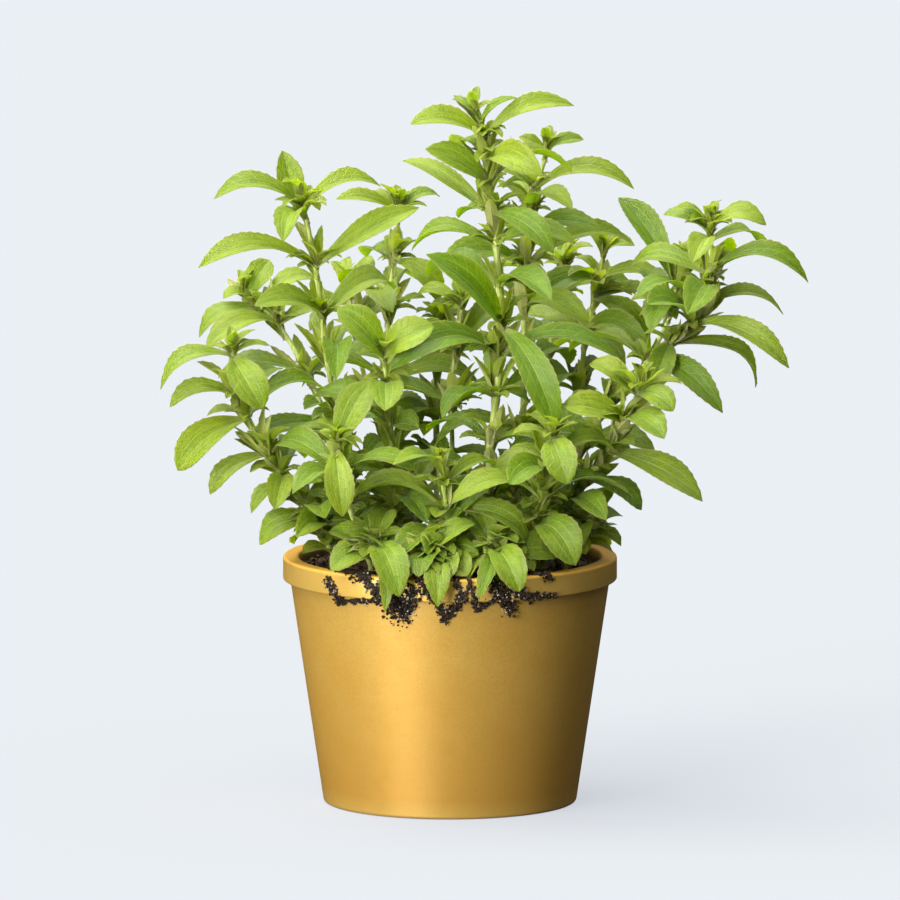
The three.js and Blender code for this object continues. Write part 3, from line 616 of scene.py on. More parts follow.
def grow_bud(stem, heading):
    at = len(stem["line"]) - 1 - BUD["below_tip"]
    root = point_at(stem, at)
    half = BUD["length"] * BUD["slimness"]
    bud = []
    for turn in (heading, heading + math.pi):
        rise = math.radians(BUD["rise"] + spread(LOOSENESS["rise"]))
        tip = reached_from(root, turn, rise, BUD["length"])
        face = np.array([-BUD["lean"] * math.cos(turn), -BUD["lean"] * math.sin(turn), 1.0])
        bud.append({"root": root, "tip": tip, "arch": BUD["arch"], "half": half, "face": face,
                    "along": 1.0, "at": at})
    return bud


def grow_leaves(stem, habit):
    """A low shoot ends in its last leaf pair and has no bud."""
    grown = []
    heading = spread(math.pi)
    for at, given in stem["pairs"].items():
        pair, heading = grow_pair(stem, at, given, heading + math.pi / 2, habit)
        grown += pair
    if habit is TALL_HABIT:
        grown += grow_bud(stem, heading + math.pi / 2)
    return grown


# %% [markdown]
# ## Which way each leaf was bent
#
# Where two leaves would have crossed, the solids have one of them bent aside or shorter. Their points
# say which way: a leaf has corners on its rib, above and below, and only one way to bend the leaf puts
# them on points of the frame. A search tree finds a near point among thousands at once.

# %% Bend a leaf
def bent_leaf(leaf, turn, lift, shrink):
    reach = leaf["tip"] - leaf["root"]
    flat = math.hypot(reach[0], reach[1])
    heading = math.atan2(reach[1], reach[0]) + math.radians(turn)
    rise = math.atan2(reach[2], flat) + math.radians(lift)
    tip = reached_from(leaf["root"], heading, rise, np.linalg.norm(reach) * shrink)
    return {**leaf, "tip": tip, "half": leaf["half"] * shrink}


def blade_lines(leaf, s):
    """Where the rib runs at each share s of the leaf, with the way it runs and its face there."""
    chord = leaf["tip"] - leaf["root"]
    length = np.linalg.norm(chord)
    lift = unit(leaf["face"] - chord * (leaf["face"] @ chord) / length**2)
    rise = 4 * leaf["arch"] * length
    s = np.asarray(s, float)[:, None]
    middle = leaf["root"] + chord * s + lift * rise * s * (1 - s)
    way = unit(chord + lift * rise * (1 - 2 * s))
    normal = unit(leaf["face"] - way * (way @ leaf["face"])[:, None])
    return middle, way, normal


# %% Look for a leaf in the frame
TURNS = [0, 7, -7, 14, -14, 22, -22, 32, -32, 45, -45]
LIFTS = [0, 8, -8, 16, -16, 26]
SHRINKS = [1, 0.8, 0.6]
BLADE_THICKNESS = 0.7
RIB_CORNERS = [1.0, 0.5]
SAME_PLACE = 0.03


def search_tree(node):
    points = [v.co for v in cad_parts[node].data.vertices]
    tree = KDTree(len(points))
    for index, point in enumerate(points):
        tree.insert(point, index)
    tree.balance()
    return tree


def stands_in(tree, leaf):
    for middle, _, normal in zip(*blade_lines(leaf, RIB_CORNERS)):
        corners = [middle + side * BLADE_THICKNESS / 2 * normal for side in (1, -1)]
        if all(tree.find(Vector(corner * MM))[2] < SAME_PLACE * MM for corner in corners):
            return True
    return False


def as_placed(tree, leaf):
    """The leaf as it stands in the frame, or None where the frame has none."""
    for shrink, lift, turn in itertools.product(SHRINKS, LIFTS, TURNS):
        bent = bent_leaf(leaf, turn, lift, shrink)
        if stands_in(tree, bent):
            return bent
    return None


# %% Grow the plants
def grow_plant(shoot, young):
    """A shoot's stem and its branch, if it has one, each with the leaves that the frame shows on it."""
    tree = search_tree(shoot["name"])
    habit = LOW_HABIT if young else TALL_HABIT
    stems = []
    for stem in filter(None, (shoot, shoot["branch"])):
        placed = [as_placed(tree, leaf) for leaf in grow_leaves(stem, habit)]
        stems.append((stem, [leaf for leaf in placed if leaf]))
    return {"name": shoot["name"], "stems": stems, "young": young}


PLANTS = [grow_plant(shoot, False) for shoot in TALL_STEMS]
PLANTS += [grow_plant(shoot, True) for shoot in LOW_SHOOTS]
print(sum(len(leaves) for plant in PLANTS for _, leaves in plant["stems"]), "leaves found in the frame")

# %% [markdown]
# ## Making meshes
#
# Every shape below is worked out as a list of points in millimetres and a list of faces, and becomes a
# mesh in one place. Numbers that a finish needs, such as how far along a leaf a point lies, go with the
# mesh as marks, one set of three for each point. The shader reads them back by name.

# %% Collect a mesh
BODY = "root"
EDGE_ANGLE = math.radians(42)


class Heap:
    """Points, faces and marks of many small shapes that become one mesh."""

    def __init__(self):
        self.points = []
        self.faces = []
        self.marks = {}
        self.count = 0

    def add(self, points, faces, **marks):
        self.points.append(points)
        self.faces += [[corner + self.count for corner in face] for face in faces]
        for name, values in marks.items():
            self.marks.setdefault(name, []).append(np.broadcast_to(values, (len(points), 3)))
        self.count += len(points)


def add_piece(name, heap, finish, node):
    mesh = bpy.data.meshes.new(name)
    mesh.from_pydata((np.concatenate(heap.points) * MM).tolist(), [], heap.faces)
    for title, values in heap.marks.items():
        layer = mesh.attributes.new(title, "FLOAT_VECTOR", "POINT")
        layer.data.foreach_set("vector", np.concatenate(values).astype(np.float32).ravel())
    mesh.materials.append(finish)
    mesh.shade_smooth()
    mesh.set_sharp_from_angle(angle=EDGE_ANGLE)
    piece = bpy.data.objects.new(name, mesh)
    scene.collection.objects.link(piece)
    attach(piece, BODY)
    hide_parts(node)
    return len(mesh.polygons)


# %% Faces between points
def grid_faces(rows, columns, start=0, flip=False, closed=False):
    """Four-sided faces over a grid of points. A closed grid joins its last column to its first."""
    faces = []
    for i in range(rows - 1):
        for j in range(columns if closed else columns - 1):
            a = start + i * columns + j
            b = start + i * columns + (j + 1) % columns
            face = [a, b, b + columns, a + columns]
            faces.append(face[::-1] if flip else face)
    return faces


def turned_faces(rings, sides, downward=False):
    """Faces of a shape turned on a wheel: its first point, its rings and its last point."""
    faces = grid_faces(rings, sides, start=1, closed=True)
    last = 1 + rings * sides
    for j in range(sides):
        k = (j + 1) % sides
        faces += [[0, 1 + k, 1 + j], [last, last - sides + j, last - sides + k]]
    return [[face[0], *face[:0:-1]] for face in faces] if downward else faces


# %% [markdown]
# ## One leaf
#
# A stevia leaf has no stalk. It is narrow where it leaves the stem, widest past its middle, and its upper
# half is cut into small teeth that point to the tip. It folds up a little on both sides of a pale rib,
# and its edges roll down. A flat card with a cut-out picture would look thin from the side, so each leaf
# is a closed blade: a grid for the upper face, the same grid a hair lower, and a rim between them.

# %% The outline of a leaf
WIDEST_SHIFT = 1.5
FULLNESS = 0.62
POINTED = 0.88
SLIM_TO_ROUND = (0.18, 0.32)
BASE_HALF_WIDTH = 1.7
TIP_HALF_WIDTH = 0.25
TEETH_FROM = 0.40
TEETH_TO = 0.95
LAST_ROW = 0.975
TOOTH_LENGTH = 3.1
TOOTH_DEPTH = 0.34
FULL_DEPTH_LENGTH = 30
# A tooth as places along it and how far the edge stands out there, both as shares.
TOOTH_START = (0.1, -0.3)
TOOTH_MIDDLE = (0.45, 0.25)
TOOTH_POINT = (0.74, 1.0)
SMALL_LEAF = 20


def leaf_length(leaf):
    return np.linalg.norm(leaf["tip"] - leaf["root"])


def half_width(leaf, s):
    """Half the width at each share s. A slim leaf runs out to a point, a round one ends blunt."""
    end = np.interp(leaf["half"] / leaf_length(leaf), SLIM_TO_ROUND, (POINTED, FULLNESS))
    swell = np.sin(np.pi * np.clip(s, 0, 1) ** WIDEST_SHIFT)
    full = leaf["half"] * swell ** np.where(s**WIDEST_SHIFT > 0.5, end, FULLNESS)
    return np.sqrt(full**2 + (BASE_HALF_WIDTH * (1 - s)) ** 2 + (TIP_HALF_WIDTH * s) ** 2)


def leaf_stations(length):
    """Shares of the leaf's length from root to tip, and how far the edge stands out at each, in mm."""
    large = length > SMALL_LEAF
    plain = [(s, 0.0) for s in np.linspace(0, TEETH_FROM, max(4, int(length / 4)))]
    teeth = max(2, round(length * (TEETH_TO - TEETH_FROM) / TOOTH_LENGTH))
    step = (TEETH_TO - TEETH_FROM) / teeth
    depth = TOOTH_DEPTH * min(1, length / FULL_DEPTH_LENGTH)
    corners = (TOOTH_START, TOOTH_MIDDLE, TOOTH_POINT) if large else (TOOTH_START, TOOTH_POINT)
    cut = [(TEETH_FROM + (k + at) * step, out * depth) for k in range(teeth) for at, out in corners]
    return np.array(plain + cut + ([(LAST_ROW, 0)] if large else []) + [(1.0, 0)])


print("rows of points in leaves of 10, 20 and 40 mm:", [len(leaf_stations(size)) for size in (10, 20, 40)])

# %% The shape of a leaf's face
ROOT_FOLD = math.radians(40)
TIP_FOLD = math.radians(26)
FOLD_CHANCE = (0.7, 1.25)
RIB_ROUNDING = 0.3
EDGE_SHARE = 0.12
FLAT_WIDTH = 5
EDGE_ROLL = 0.55
RIPPLE = 0.30
RIPPLE_TURNS = 9
QUILTING = 0.10
QUILT_LENGTH = 4.2
QUILT_SLANT = 0.8
TWIST = math.radians(16)
TIP_CURL = 0.35
CURL_CHANCE = (0, 1.4)
CURL_FROM = 0.55
SIDE_BOW = 0.035


def relief_of_face(s, across, length, size, phase):
    """How far a leaf's face rises and falls: its edges roll down, it ripples, and it is quilted."""
    away = np.abs(across)
    wave = np.sin(RIPPLE_TURNS * s + np.where(across > 0, phase[0], phase[1]))
    quilt = np.cos(2 * np.pi * (s * length / QUILT_LENGTH - QUILT_SLANT * away))
    rolled = -EDGE_ROLL * away**4 + RIPPLE * wave * away**2
    return size * (rolled + QUILTING * quilt * np.sin(np.pi * away))


def leaf_grid(leaf, across, dice):
    """The shares along the leaf, the offsets from its rib, its middle sheet and its upward normals."""
    length = leaf_length(leaf)
    s, teeth = leaf_stations(length).T
    middle, way, normal = blade_lines(leaf, s)
    side = np.cross(way, normal)
    bow = dice.uniform(-1, 1) * SIDE_BOW * length
    curl = dice.uniform(*CURL_CHANCE) * TIP_CURL * length * np.clip(s - CURL_FROM, 0, None) ** 2
    middle = middle + side * (4 * bow * s * (1 - s))[:, None] - normal * curl[:, None]
    turn = (dice.uniform(-1, 1) * TWIST * s)[:, None]
    cos, sin = np.cos(turn), np.sin(turn)
    side, normal = side * cos + normal * sin, normal * cos - side * sin
    width = half_width(leaf, s)[:, None]
    edge = np.clip(np.abs(across) - (1 - EDGE_SHARE), 0, None) / EDGE_SHARE
    out = across * width + np.sign(across) * teeth[:, None] * edge
    fold = dice.uniform(*FOLD_CHANCE) * (ROOT_FOLD + (TIP_FOLD - ROOT_FOLD) * s)[:, None]
    phase = dice.uniform(0, 2 * np.pi, 2)
    relief = relief_of_face(s[:, None], across, length, np.minimum(1, width / FLAT_WIDTH), phase)
    rise = np.sqrt(out**2 + RIB_ROUNDING) * np.sin(fold) + relief
    grid = middle[:, None] + side[:, None] * (out * np.cos(fold))[..., None]
    return s, out, grid + normal[:, None] * rise[..., None], normal


# %% The blade of a leaf
ACROSS = np.array([-1, -0.89, -0.62, -0.32, -0.09, 0.09, 0.32, 0.62, 0.89, 1])
ACROSS_SMALL = np.array([-1, -0.6, 0, 0.6, 1])
THICKNESS = 0.42
SMALL_THICKNESS = 0.3
RIM_SHARE = 0.45
RIB_GROOVE = 0.22
RIB_KEEL = 0.38
KEEL_TAPER = 0.8
RIB_SPREAD = 0.5
LONG_LEAF = 40


def border(rows, columns):
    """The points round the edge of a grid, in order."""
    down = [i * columns for i in range(rows)]
    along = [(rows - 1) * columns + j for j in range(1, columns)]
    up = [i * columns + columns - 1 for i in range(rows - 2, -1, -1)]
    return down + along + up + list(range(columns - 2, 0, -1))


def add_leaf(heap, leaf, dice, small=False):
    """Adds one leaf as a closed blade, with its marks. A small one is thinner and has fewer faces."""
    across, thickness = (ACROSS_SMALL, SMALL_THICKNESS) if small else (ACROSS, THICKNESS)
    s, out, grid, normal = leaf_grid(leaf, across, dice)
    rows, columns = grid.shape[:2]
    rib = np.exp(-((out / RIB_SPREAD) ** 2))
    half = thickness * (1 - (1 - RIM_SHARE) * across**2) / 2
    above = grid + normal[:, None] * (half - RIB_GROOVE * rib)[..., None]
    below = grid - normal[:, None] * (half + RIB_KEEL * rib * (1 - KEEL_TAPER * s[:, None]))[..., None]
    count = rows * columns
    faces = grid_faces(rows, columns) + grid_faces(rows, columns, count, flip=True)
    rim = border(rows, columns)
    faces += [[a, b, b + count, a + count] for a, b in zip(rim, rim[1:] + rim[:1])]
    along = np.tile(np.repeat(s, columns), 2)
    blade = np.stack([along, np.tile(across, 2 * rows), np.repeat([0, 1], count)], axis=1)
    growth = (leaf["youth"], dice.uniform(), leaf_length(leaf) / LONG_LEAF)
    heap.add(np.concatenate([above, below]).reshape(-1, 3), faces, blade=blade, growth=growth)


# %% [markdown]
# ## Stems
#
# A stem is green and a little hairy, swells where a leaf pair grows, and gets thinner to its tip. Its
# line is bent at the given points, so a smooth curve is drawn through them and a ring of points swept
# along it. A curve object with a bevel would do, but it can't swell at the leaf pairs or carry marks.

# %% A smooth line through a stem's points
STEM_STEP = 1.6


def smooth_line(line):
    """Points close together on a smooth curve through the line's points, and how far along each is."""
    ends = np.vstack([2 * line[0] - line[1], line, 2 * line[-1] - line[-2]])
    points = []
    spans = []
    for k in range(len(line) - 1):
        a, b, c, d = ends[k : k + 4]
        steps = max(2, int(np.linalg.norm(c - b) / STEM_STEP))
        for t in np.arange(steps) / steps:
            slide = (c - a) * t + (2 * a - 5 * b + 4 * c - d) * t**2 + (3 * b - a - 3 * c + d) * t**3
            points.append(b + 0.5 * slide)
            spans.append(k + t)
    return np.array([*points, line[-1]]), np.array([*spans, len(line) - 1])


print("rings on the tall stems:", [len(smooth_line(stem["line"])[0]) for stem in TALL_STEMS])

# %% The body of a stem
STEM_DEPTH = 15
DEEP_RINGS = 5
STEM_SIDES = 12
TIP_GIRTH = 0.5
ROUND_SHARE = 0.93
NODE_SWELL = 0.28
NODE_LENGTH = 1.7
STEM_RIBS = 0.05


def stem_radius(stem, at, nodes):
    along = np.clip(at / (len(stem["line"]) - 1), 0, 1)
    radius = stem["girth"] * ROUND_SHARE * (1 - (1 - TIP_GIRTH) * along)
    span = np.mean(np.linalg.norm(np.diff(stem["line"], axis=0), axis=1))
    for node in nodes:
        radius = radius * (1 + NODE_SWELL * np.exp(-(((at - node) * span / NODE_LENGTH) ** 2)))
    return radius


def leaf_nodes(leaves):
    return sorted({leaf["at"] for leaf in leaves})


def stem_rings(stem, leaves, footed):
    """The middle points, ways, radii and shares along of a stem's rings. A footed stem goes on into
    the soil."""
    points, at = smooth_line(stem["line"])
    if footed:
        depths = np.linspace(STEM_DEPTH, 2, DEEP_RINGS)
        points = np.vstack([points[0] - np.outer(depths, [0, 0, 1]), points])
        at = np.concatenate([np.zeros(len(depths)), at])
    ways = unit(np.gradient(points, axis=0))
    return points, ways, stem_radius(stem, at, leaf_nodes(leaves)), at / (len(stem["line"]) - 1)


def add_stem(heap, points, ways, radii, along, youth):
    across = unit(np.cross([0, 1, 0], ways))
    other = np.cross(ways, across)
    turn = 2 * np.pi * np.arange(STEM_SIDES) / STEM_SIDES
    size = radii[:, None] * (1 + STEM_RIBS * np.cos(3 * turn))
    rings = points[:, None] + across[:, None] * (size * np.cos(turn))[..., None]
    rings = rings + other[:, None] * (size * np.sin(turn))[..., None]
    first = list(range(STEM_SIDES))
    last = [(len(points) - 1) * STEM_SIDES + j for j in first]
    faces = grid_faces(len(points), STEM_SIDES, closed=True) + [first[::-1], last]
    growth = np.stack([np.full(len(points), youth), along, radii], axis=1)
    heap.add(rings.reshape(-1, 3), faces, growth=np.repeat(growth, STEM_SIDES, axis=0))


# %% [markdown]
# ## Hairs on the stems
#
# Young stevia stems are downy. Hair particles would vanish when the model is exported, so each hair is
# a tiny closed spike of four triangles with its foot sunk in the stem.

# %% Hairs
HAIRS_PER_MM = 2.4
HAIR_LENGTH = (0.45, 1.0)
HAIR_LEAN = (-0.2, 0.7)
HAIR_RADIUS = 0.05
HAIR_SUNK = 0.9


def add_hairs(heap, points, ways, radii, youth, dice):
    spans = np.linalg.norm(np.diff(points, axis=0), axis=1)
    count = int(spans.sum() * HAIRS_PER_MM)
    for i in dice.integers(0, len(points) - 1, count):
        way = ways[i]
        out = unit(np.cross(way, dice.normal(size=3)))
        root = points[i] + (points[i + 1] - points[i]) * dice.uniform() + out * radii[i] * HAIR_SUNK
        tip = root + (out + way * dice.uniform(*HAIR_LEAN)) * dice.uniform(*HAIR_LENGTH)
        side = unit(np.cross(out, way)) * HAIR_RADIUS
        rest = root - 0.5 * side
        feet = [root + side, rest + way * HAIR_RADIUS, rest - way * HAIR_RADIUS]
        heap.add(np.array([*feet, tip]), [[2, 1, 0], [0, 1, 3], [1, 2, 3], [2, 0, 3]],
                 growth=(youth, 1.0, 0.0))


# %% [markdown]
# ## Small leaves in the axils and at the tips
#
# In the corner between each leaf and the stem sits a tuft of small leaves, the start of a side shoot.
# Narrow upright ones stand close round the stem there and nearly hide it. Every tip ends in a knot of
# folded young leaves, and round its foot a stem carries a skirt of short round ones. A low shoot spreads
# a rosette of them at its tip, and one at the front leans an apron of them over the rim. They are too
# small for the solids, so they are added here by a rule, with a repeatable throw of dice for each stem.

# %% Tufts and sheaths
TUFT = {"leaves": (2, 4), "turn": (20, 75), "length": (8, 19), "taper": 0.12, "rise": (0, 55)}
TUFT_ROOT = (1.0, 2.4)
TUFT_ROOT_RISE = math.radians(50)
TUFT_YOUTH = 0.35
INNER_LEAVES = 4
INNER_WIDTH = 45
SHEATH = {"leaves": (5, 7), "length": (13, 24), "spread": (8, 30), "youth": (0.9, 1.7)}
SHEATH_ARCH = (-0.06, 0.1)
SHEATH_SLIMNESS = 0.14
ON_TOP = {"from": 0.8, "leaves": 2, "length": 0.6}
SMALL_SLIMNESS = 0.22
SMALL_ARCH = (0.08, 0.22)
WIDTH_CHANCE = (0.85, 1.15)
LEAN_IN = 0.7
LEAN_FORWARD = 0.25


def small_leaf(root, heading, rise, length, youth, dice, slimness=SMALL_SLIMNESS):
    tip = reached_from(root, heading, math.radians(rise), length)
    inward = -LEAN_IN * math.sin(math.radians(rise))
    face = np.array([inward * math.cos(heading), inward * math.sin(heading) - LEAN_FORWARD, 1.0])
    half = length * slimness * dice.uniform(*WIDTH_CHANCE)
    return {"root": root, "tip": tip, "arch": dice.uniform(*SMALL_ARCH), "half": half, "face": face,
            "youth": youth}


def tuft_leaves(leaf, dice):
    """The small leaves between one leaf and its stem. They are thickest in the middle of the plant."""
    heading = heading_to(leaf["root"], leaf["tip"])
    root = reached_from(leaf["root"], heading, TUFT_ROOT_RISE, dice.uniform(*TUFT_ROOT))
    inner = abs(root[0]) < INNER_WIDTH
    youth = min(1, leaf["youth"] + TUFT_YOUTH)
    for k in range(dice.integers(*TUFT["leaves"]) + 1 + INNER_LEAVES * inner):
        turn = heading + (-1) ** k * math.radians(dice.uniform(*TUFT["turn"]))
        length = dice.uniform(*TUFT["length"]) * (1 - TUFT["taper"] * k)
        yield small_leaf(root, turn, dice.uniform(*TUFT["rise"]), length, youth, dice)


def sheath_leaves(stem, at, dice):
    """The narrow pale leaves that stand along the stem from one leaf pair, fewer and shorter on top."""
    last = len(stem["line"]) - 1
    on_top = at / last > ON_TOP["from"]
    way = unit(point_at(stem, min(last - 0.01, at + 0.5)) - point_at(stem, max(0.0, at - 0.5)))
    for _ in range(ON_TOP["leaves"] if on_top else dice.integers(*SHEATH["leaves"]) + 1):
        out = unit(np.cross(way, dice.normal(size=3)))
        outward = math.tan(math.radians(dice.uniform(*SHEATH["spread"])))
        length = dice.uniform(*SHEATH["length"]) * (ON_TOP["length"] if on_top else 1.0)
        root = point_at(stem, max(0.0, at + dice.uniform(-0.25, 0.05)))
        tip = root + length * unit(way + out * outward)
        half = length * SHEATH_SLIMNESS * dice.uniform(*WIDTH_CHANCE)
        face = np.array([0, -LEAN_FORWARD, 0]) - out
        yield {"root": root, "tip": tip, "arch": dice.uniform(*SHEATH_ARCH), "half": half, "face": face,
               "youth": dice.uniform(*SHEATH["youth"])}


# %% Tips, rosettes, aprons and skirts
TIP = {"leaves": 3, "below": 0.03, "length": (7, 13), "rise": (25, 70)}
ROSETTE = {"leaves": 20, "below": 0.9, "length": (11, 22), "taper": 0.25, "youth": (0.4, 1.0)}
ROSETTE_RISE = (-14, 62)
ROSETTE_TURN = 2.4
APRON = {"leaves": 6, "below": (0.1, 0.7), "length": (17, 25), "rise": (-26, -8), "youth": (0.3, 0.8)}
APRON_TURN = 65
SKIRT = {"leaves": 17, "height": (2, 28), "length": (8, 17), "rise": (0, 45), "youth": (0.1, 0.6)}
ROUND_SLIMNESS = 0.31


def tip_leaves(stem, dice):
    root = point_at(stem, len(stem["line"]) - 1 - TIP["below"])
    for k in range(TIP["leaves"]):
        turn = 2 * math.pi * (k / TIP["leaves"] + dice.uniform(-0.06, 0.06))
        rise = dice.uniform(*TIP["rise"])
        yield small_leaf(root, turn, rise, dice.uniform(*TIP["length"]), 1.0, dice)


def rosette_leaves(stem, dice):
    """Round leaves that stand out all round near the tip of a low shoot, the upper ones steeper."""
    last = len(stem["line"]) - 1
    rises = np.linspace(*ROSETTE_RISE, ROSETTE["leaves"], endpoint=False)
    for k in range(ROSETTE["leaves"]):
        share = k / ROSETTE["leaves"]
        root = point_at(stem, last - ROSETTE["below"] * (1 - share))
        turn = ROSETTE_TURN * k + dice.uniform(-0.3, 0.3)
        rise = rises[k] + dice.uniform(-10, 10)
        length = dice.uniform(*ROSETTE["length"]) * (1 - ROSETTE["taper"] * share)
        youth = dice.uniform(*ROSETTE["youth"])
        yield small_leaf(root, turn, rise, length, youth, dice, ROUND_SLIMNESS)


def apron_leaves(stem, dice):
    """Round leaves that lean out over the rim, side by side, from a low shoot at the front."""
    last = len(stem["line"]) - 1
    for side in np.linspace(-1, 1, APRON["leaves"]):
        root = point_at(stem, last - dice.uniform(*APRON["below"]))
        turn = math.radians(-90 + APRON_TURN * side + dice.uniform(-8, 8))
        length = dice.uniform(*APRON["length"])
        youth = dice.uniform(*APRON["youth"])
        yield small_leaf(root, turn, dice.uniform(*APRON["rise"]), length, youth, dice, ROUND_SLIMNESS)


def skirt_leaves(stem, dice):
    """Short round leaves near the soil, on the part of the stem that stands over it."""
    line = stem["line"]
    first_span = max(1.0, line[1][2] - line[0][2])
    for _ in range(SKIRT["leaves"]):
        root = point_at(stem, min(dice.uniform(*SKIRT["height"]) / first_span, len(line) - 1.2))
        turn = dice.uniform(0, 2 * math.pi)
        length = dice.uniform(*SKIRT["length"])
        youth = dice.uniform(*SKIRT["youth"])
        yield small_leaf(root, turn, dice.uniform(*SKIRT["rise"]), length, youth, dice, ROUND_SLIMNESS)


# %% Dress every stem
PLANT_DICE = 700
TUFT_CHANCE = 0.95
TUFT_FROM_LENGTH = 20
FRONT_EDGE = -50
STEM_YOUTH = 0.3
YOUNG_STEM_YOUTH = 0.6
LEAF_YOUTH = {"foot": 0.15, "gain": 0.65, "power": 1.5, "young": 0.2}


def leaf_youth(leaf, young):
    """How young a leaf looks, from 0 to 1: the higher it grows, the younger it is."""
    gain = LEAF_YOUTH["gain"] * leaf["along"] ** LEAF_YOUTH["power"]
    return min(1.0, LEAF_YOUTH["foot"] + gain + (LEAF_YOUTH["young"] if young else 0))


def dress_leaves(heap, stem, leaves, young, footed, dice):
    """The large leaves of a stem, and the small ones that go with them and with the stem."""
    small = list(tip_leaves(stem, dice))
    if footed:
        small += skirt_leaves(stem, dice)
    if young:
        small += rosette_leaves(stem, dice)
    for at in leaf_nodes(leaves):
        small += sheath_leaves(stem, at, dice)
    for leaf in leaves:
        leaf["youth"] = leaf_youth(leaf, young)
        add_leaf(heap, leaf, dice)
        if leaf_length(leaf) > TUFT_FROM_LENGTH and dice.uniform() < TUFT_CHANCE:
            small += tuft_leaves(leaf, dice)
    if young and stem["line"][-1][1] < FRONT_EDGE:
        small += apron_leaves(stem, dice)
    for leaf in small:
        add_leaf(heap, leaf, dice, small=True)


def dress_plant(plant, number, leaf_finish, stem_finish):
    dice = np.random.default_rng(PLANT_DICE + number)
    young = plant["young"]
    youth = YOUNG_STEM_YOUTH if young else STEM_YOUTH
    heaps = {"leaves": Heap(), "stalk": Heap()}
    for order, (stem, leaves) in enumerate(plant["stems"]):
        footed = order == 0
        dress_leaves(heaps["leaves"], stem, leaves, young, footed, dice)
        points, ways, radii, along = stem_rings(stem, leaves, footed)
        add_stem(heaps["stalk"], points, ways, radii, along, youth)
        add_hairs(heaps["stalk"], points, ways, radii, youth, dice)
    total = 0
    for (part, heap), finish in zip(heaps.items(), (leaf_finish, stem_finish)):
        total += add_piece(plant["name"] + "_" + part, heap, finish, plant["name"])
    return total


# %% [markdown]
# ## Veins
#
# A stevia leaf has a strong rib, two long veins beside it that run with the edge, side veins that slant
# to the tip, and a fine net between them. The leaf's marks say how far along and how far across each
# point is, so the veins are lines in those two numbers, and they bend with the leaf. Paler and darker
# streaks run along it too, from noise that is stretched in the same two numbers.

# %% The vein pattern
LONG_VEIN_AT = 0.4
RIB_ENDS = 1.15
VEIN_SLANT = 0.16


def make_veins():
    inputs = {"Along": 0.0, "Across": 0.0, "Rib Width": 0.1, "Side Veins": 9.0, "Net Size": 1.3}
    tree, given, out = new_group("leaf veins", inputs, ["Rib", "Veins", "Net"])
    across = maths(tree, "ABSOLUTE", given["Across"])
    rib_width = times(tree, maths(tree, "SUBTRACT", RIB_ENDS, given["Along"]), given["Rib Width"])
    long_vein = fade(tree, apart(tree, across, LONG_VEIN_AT), 0.0, 0.07)
    slant = maths(tree, "SUBTRACT", given["Along"], times(tree, across, VEIN_SLANT))
    turns = maths(tree, "FRACT", times(tree, slant, given["Side Veins"]))
    side_vein = fade(tree, apart(tree, turns, 0.5), 0.0, 0.12)
    both = maths(tree, "MAXIMUM", times(tree, long_vein, 0.8), times(tree, side_vein, 0.6))
    cells = {"Vector": places(tree), "Scale": maths(tree, "DIVIDE", 1 / MM, given["Net Size"])}
    net = put(tree, "TexVoronoi", cells, feature="DISTANCE_TO_EDGE").outputs["Distance"]
    tree.links.new(fade(tree, across, 0.0, rib_width), out["Rib"])
    tree.links.new(both, out["Veins"])
    tree.links.new(fade(tree, net, 0.0, 0.16), out["Net"])
    return tree


def make_streaks():
    """Pale and dark streaks that run along a leaf, other ones in each leaf's lot."""
    tree, given, out = new_group("leaf streaks", {"Along": 0.0, "Across": 0.0, "Lot": 0.0}, ["Mask"])
    stretch = {"Along": 2.6, "Across": 3.4, "Lot": 50.0}
    axes = [times(tree, given[name], amount) for name, amount in stretch.items()]
    place = put(tree, "CombineXYZ", dict(enumerate(axes))).outputs[0]
    streaks = put(tree, "TexNoise", {"Vector": place, "Scale": 1.5, "Detail": 3.0}).outputs[0]
    tree.links.new(soft_mask(tree, streaks, 0.4, 0.6), out["Mask"])
    return tree


VEINS = make_veins()
STREAK_PATTERN = make_streaks()
print("leaf effects:", VEINS.name, STREAK_PATTERN.name)

# %% [markdown]
# ## The leaf's skin
#
# Young leaves are yellow-green and old ones deeper, and the narrow ones that clasp the stem are nearly
# white. The upper face has a satin bloom of fine hairs, the underside is paler and dull, and the edge is
# thin and a little brown. Light soaks through a leaf, so most of the colour is set below the surface,
# where the shader lets light travel a millimetre or two. One recipe makes the skin of the grown stems
# and of the young shoots, with its own pair of greens for each.

# %% The leaf finish
SHADE_GREEN = (0.44, 0.56, 0.15)
VEIN_GREEN = (0.56, 0.67, 0.25)
UNDER_GREEN = (0.29, 0.39, 0.035)
PALE_BASE = (0.58, 0.67, 0.27)
SHEATH_PALE = (0.68, 0.82, 0.24)
EDGE_BROWN = (0.30, 0.29, 0.12)
LEAF_BUMP = 0.00045
LEAF_PLAIN = {
    "Specular IOR Level": 0.35,
    "Subsurface Weight": 0.95,
    "Subsurface Radius": (0.8, 1.0, 0.12),
    "Subsurface Scale": 2.5 * MM,
    "Sheen Weight": 0.08,
    "Sheen Roughness": 0.3,
}


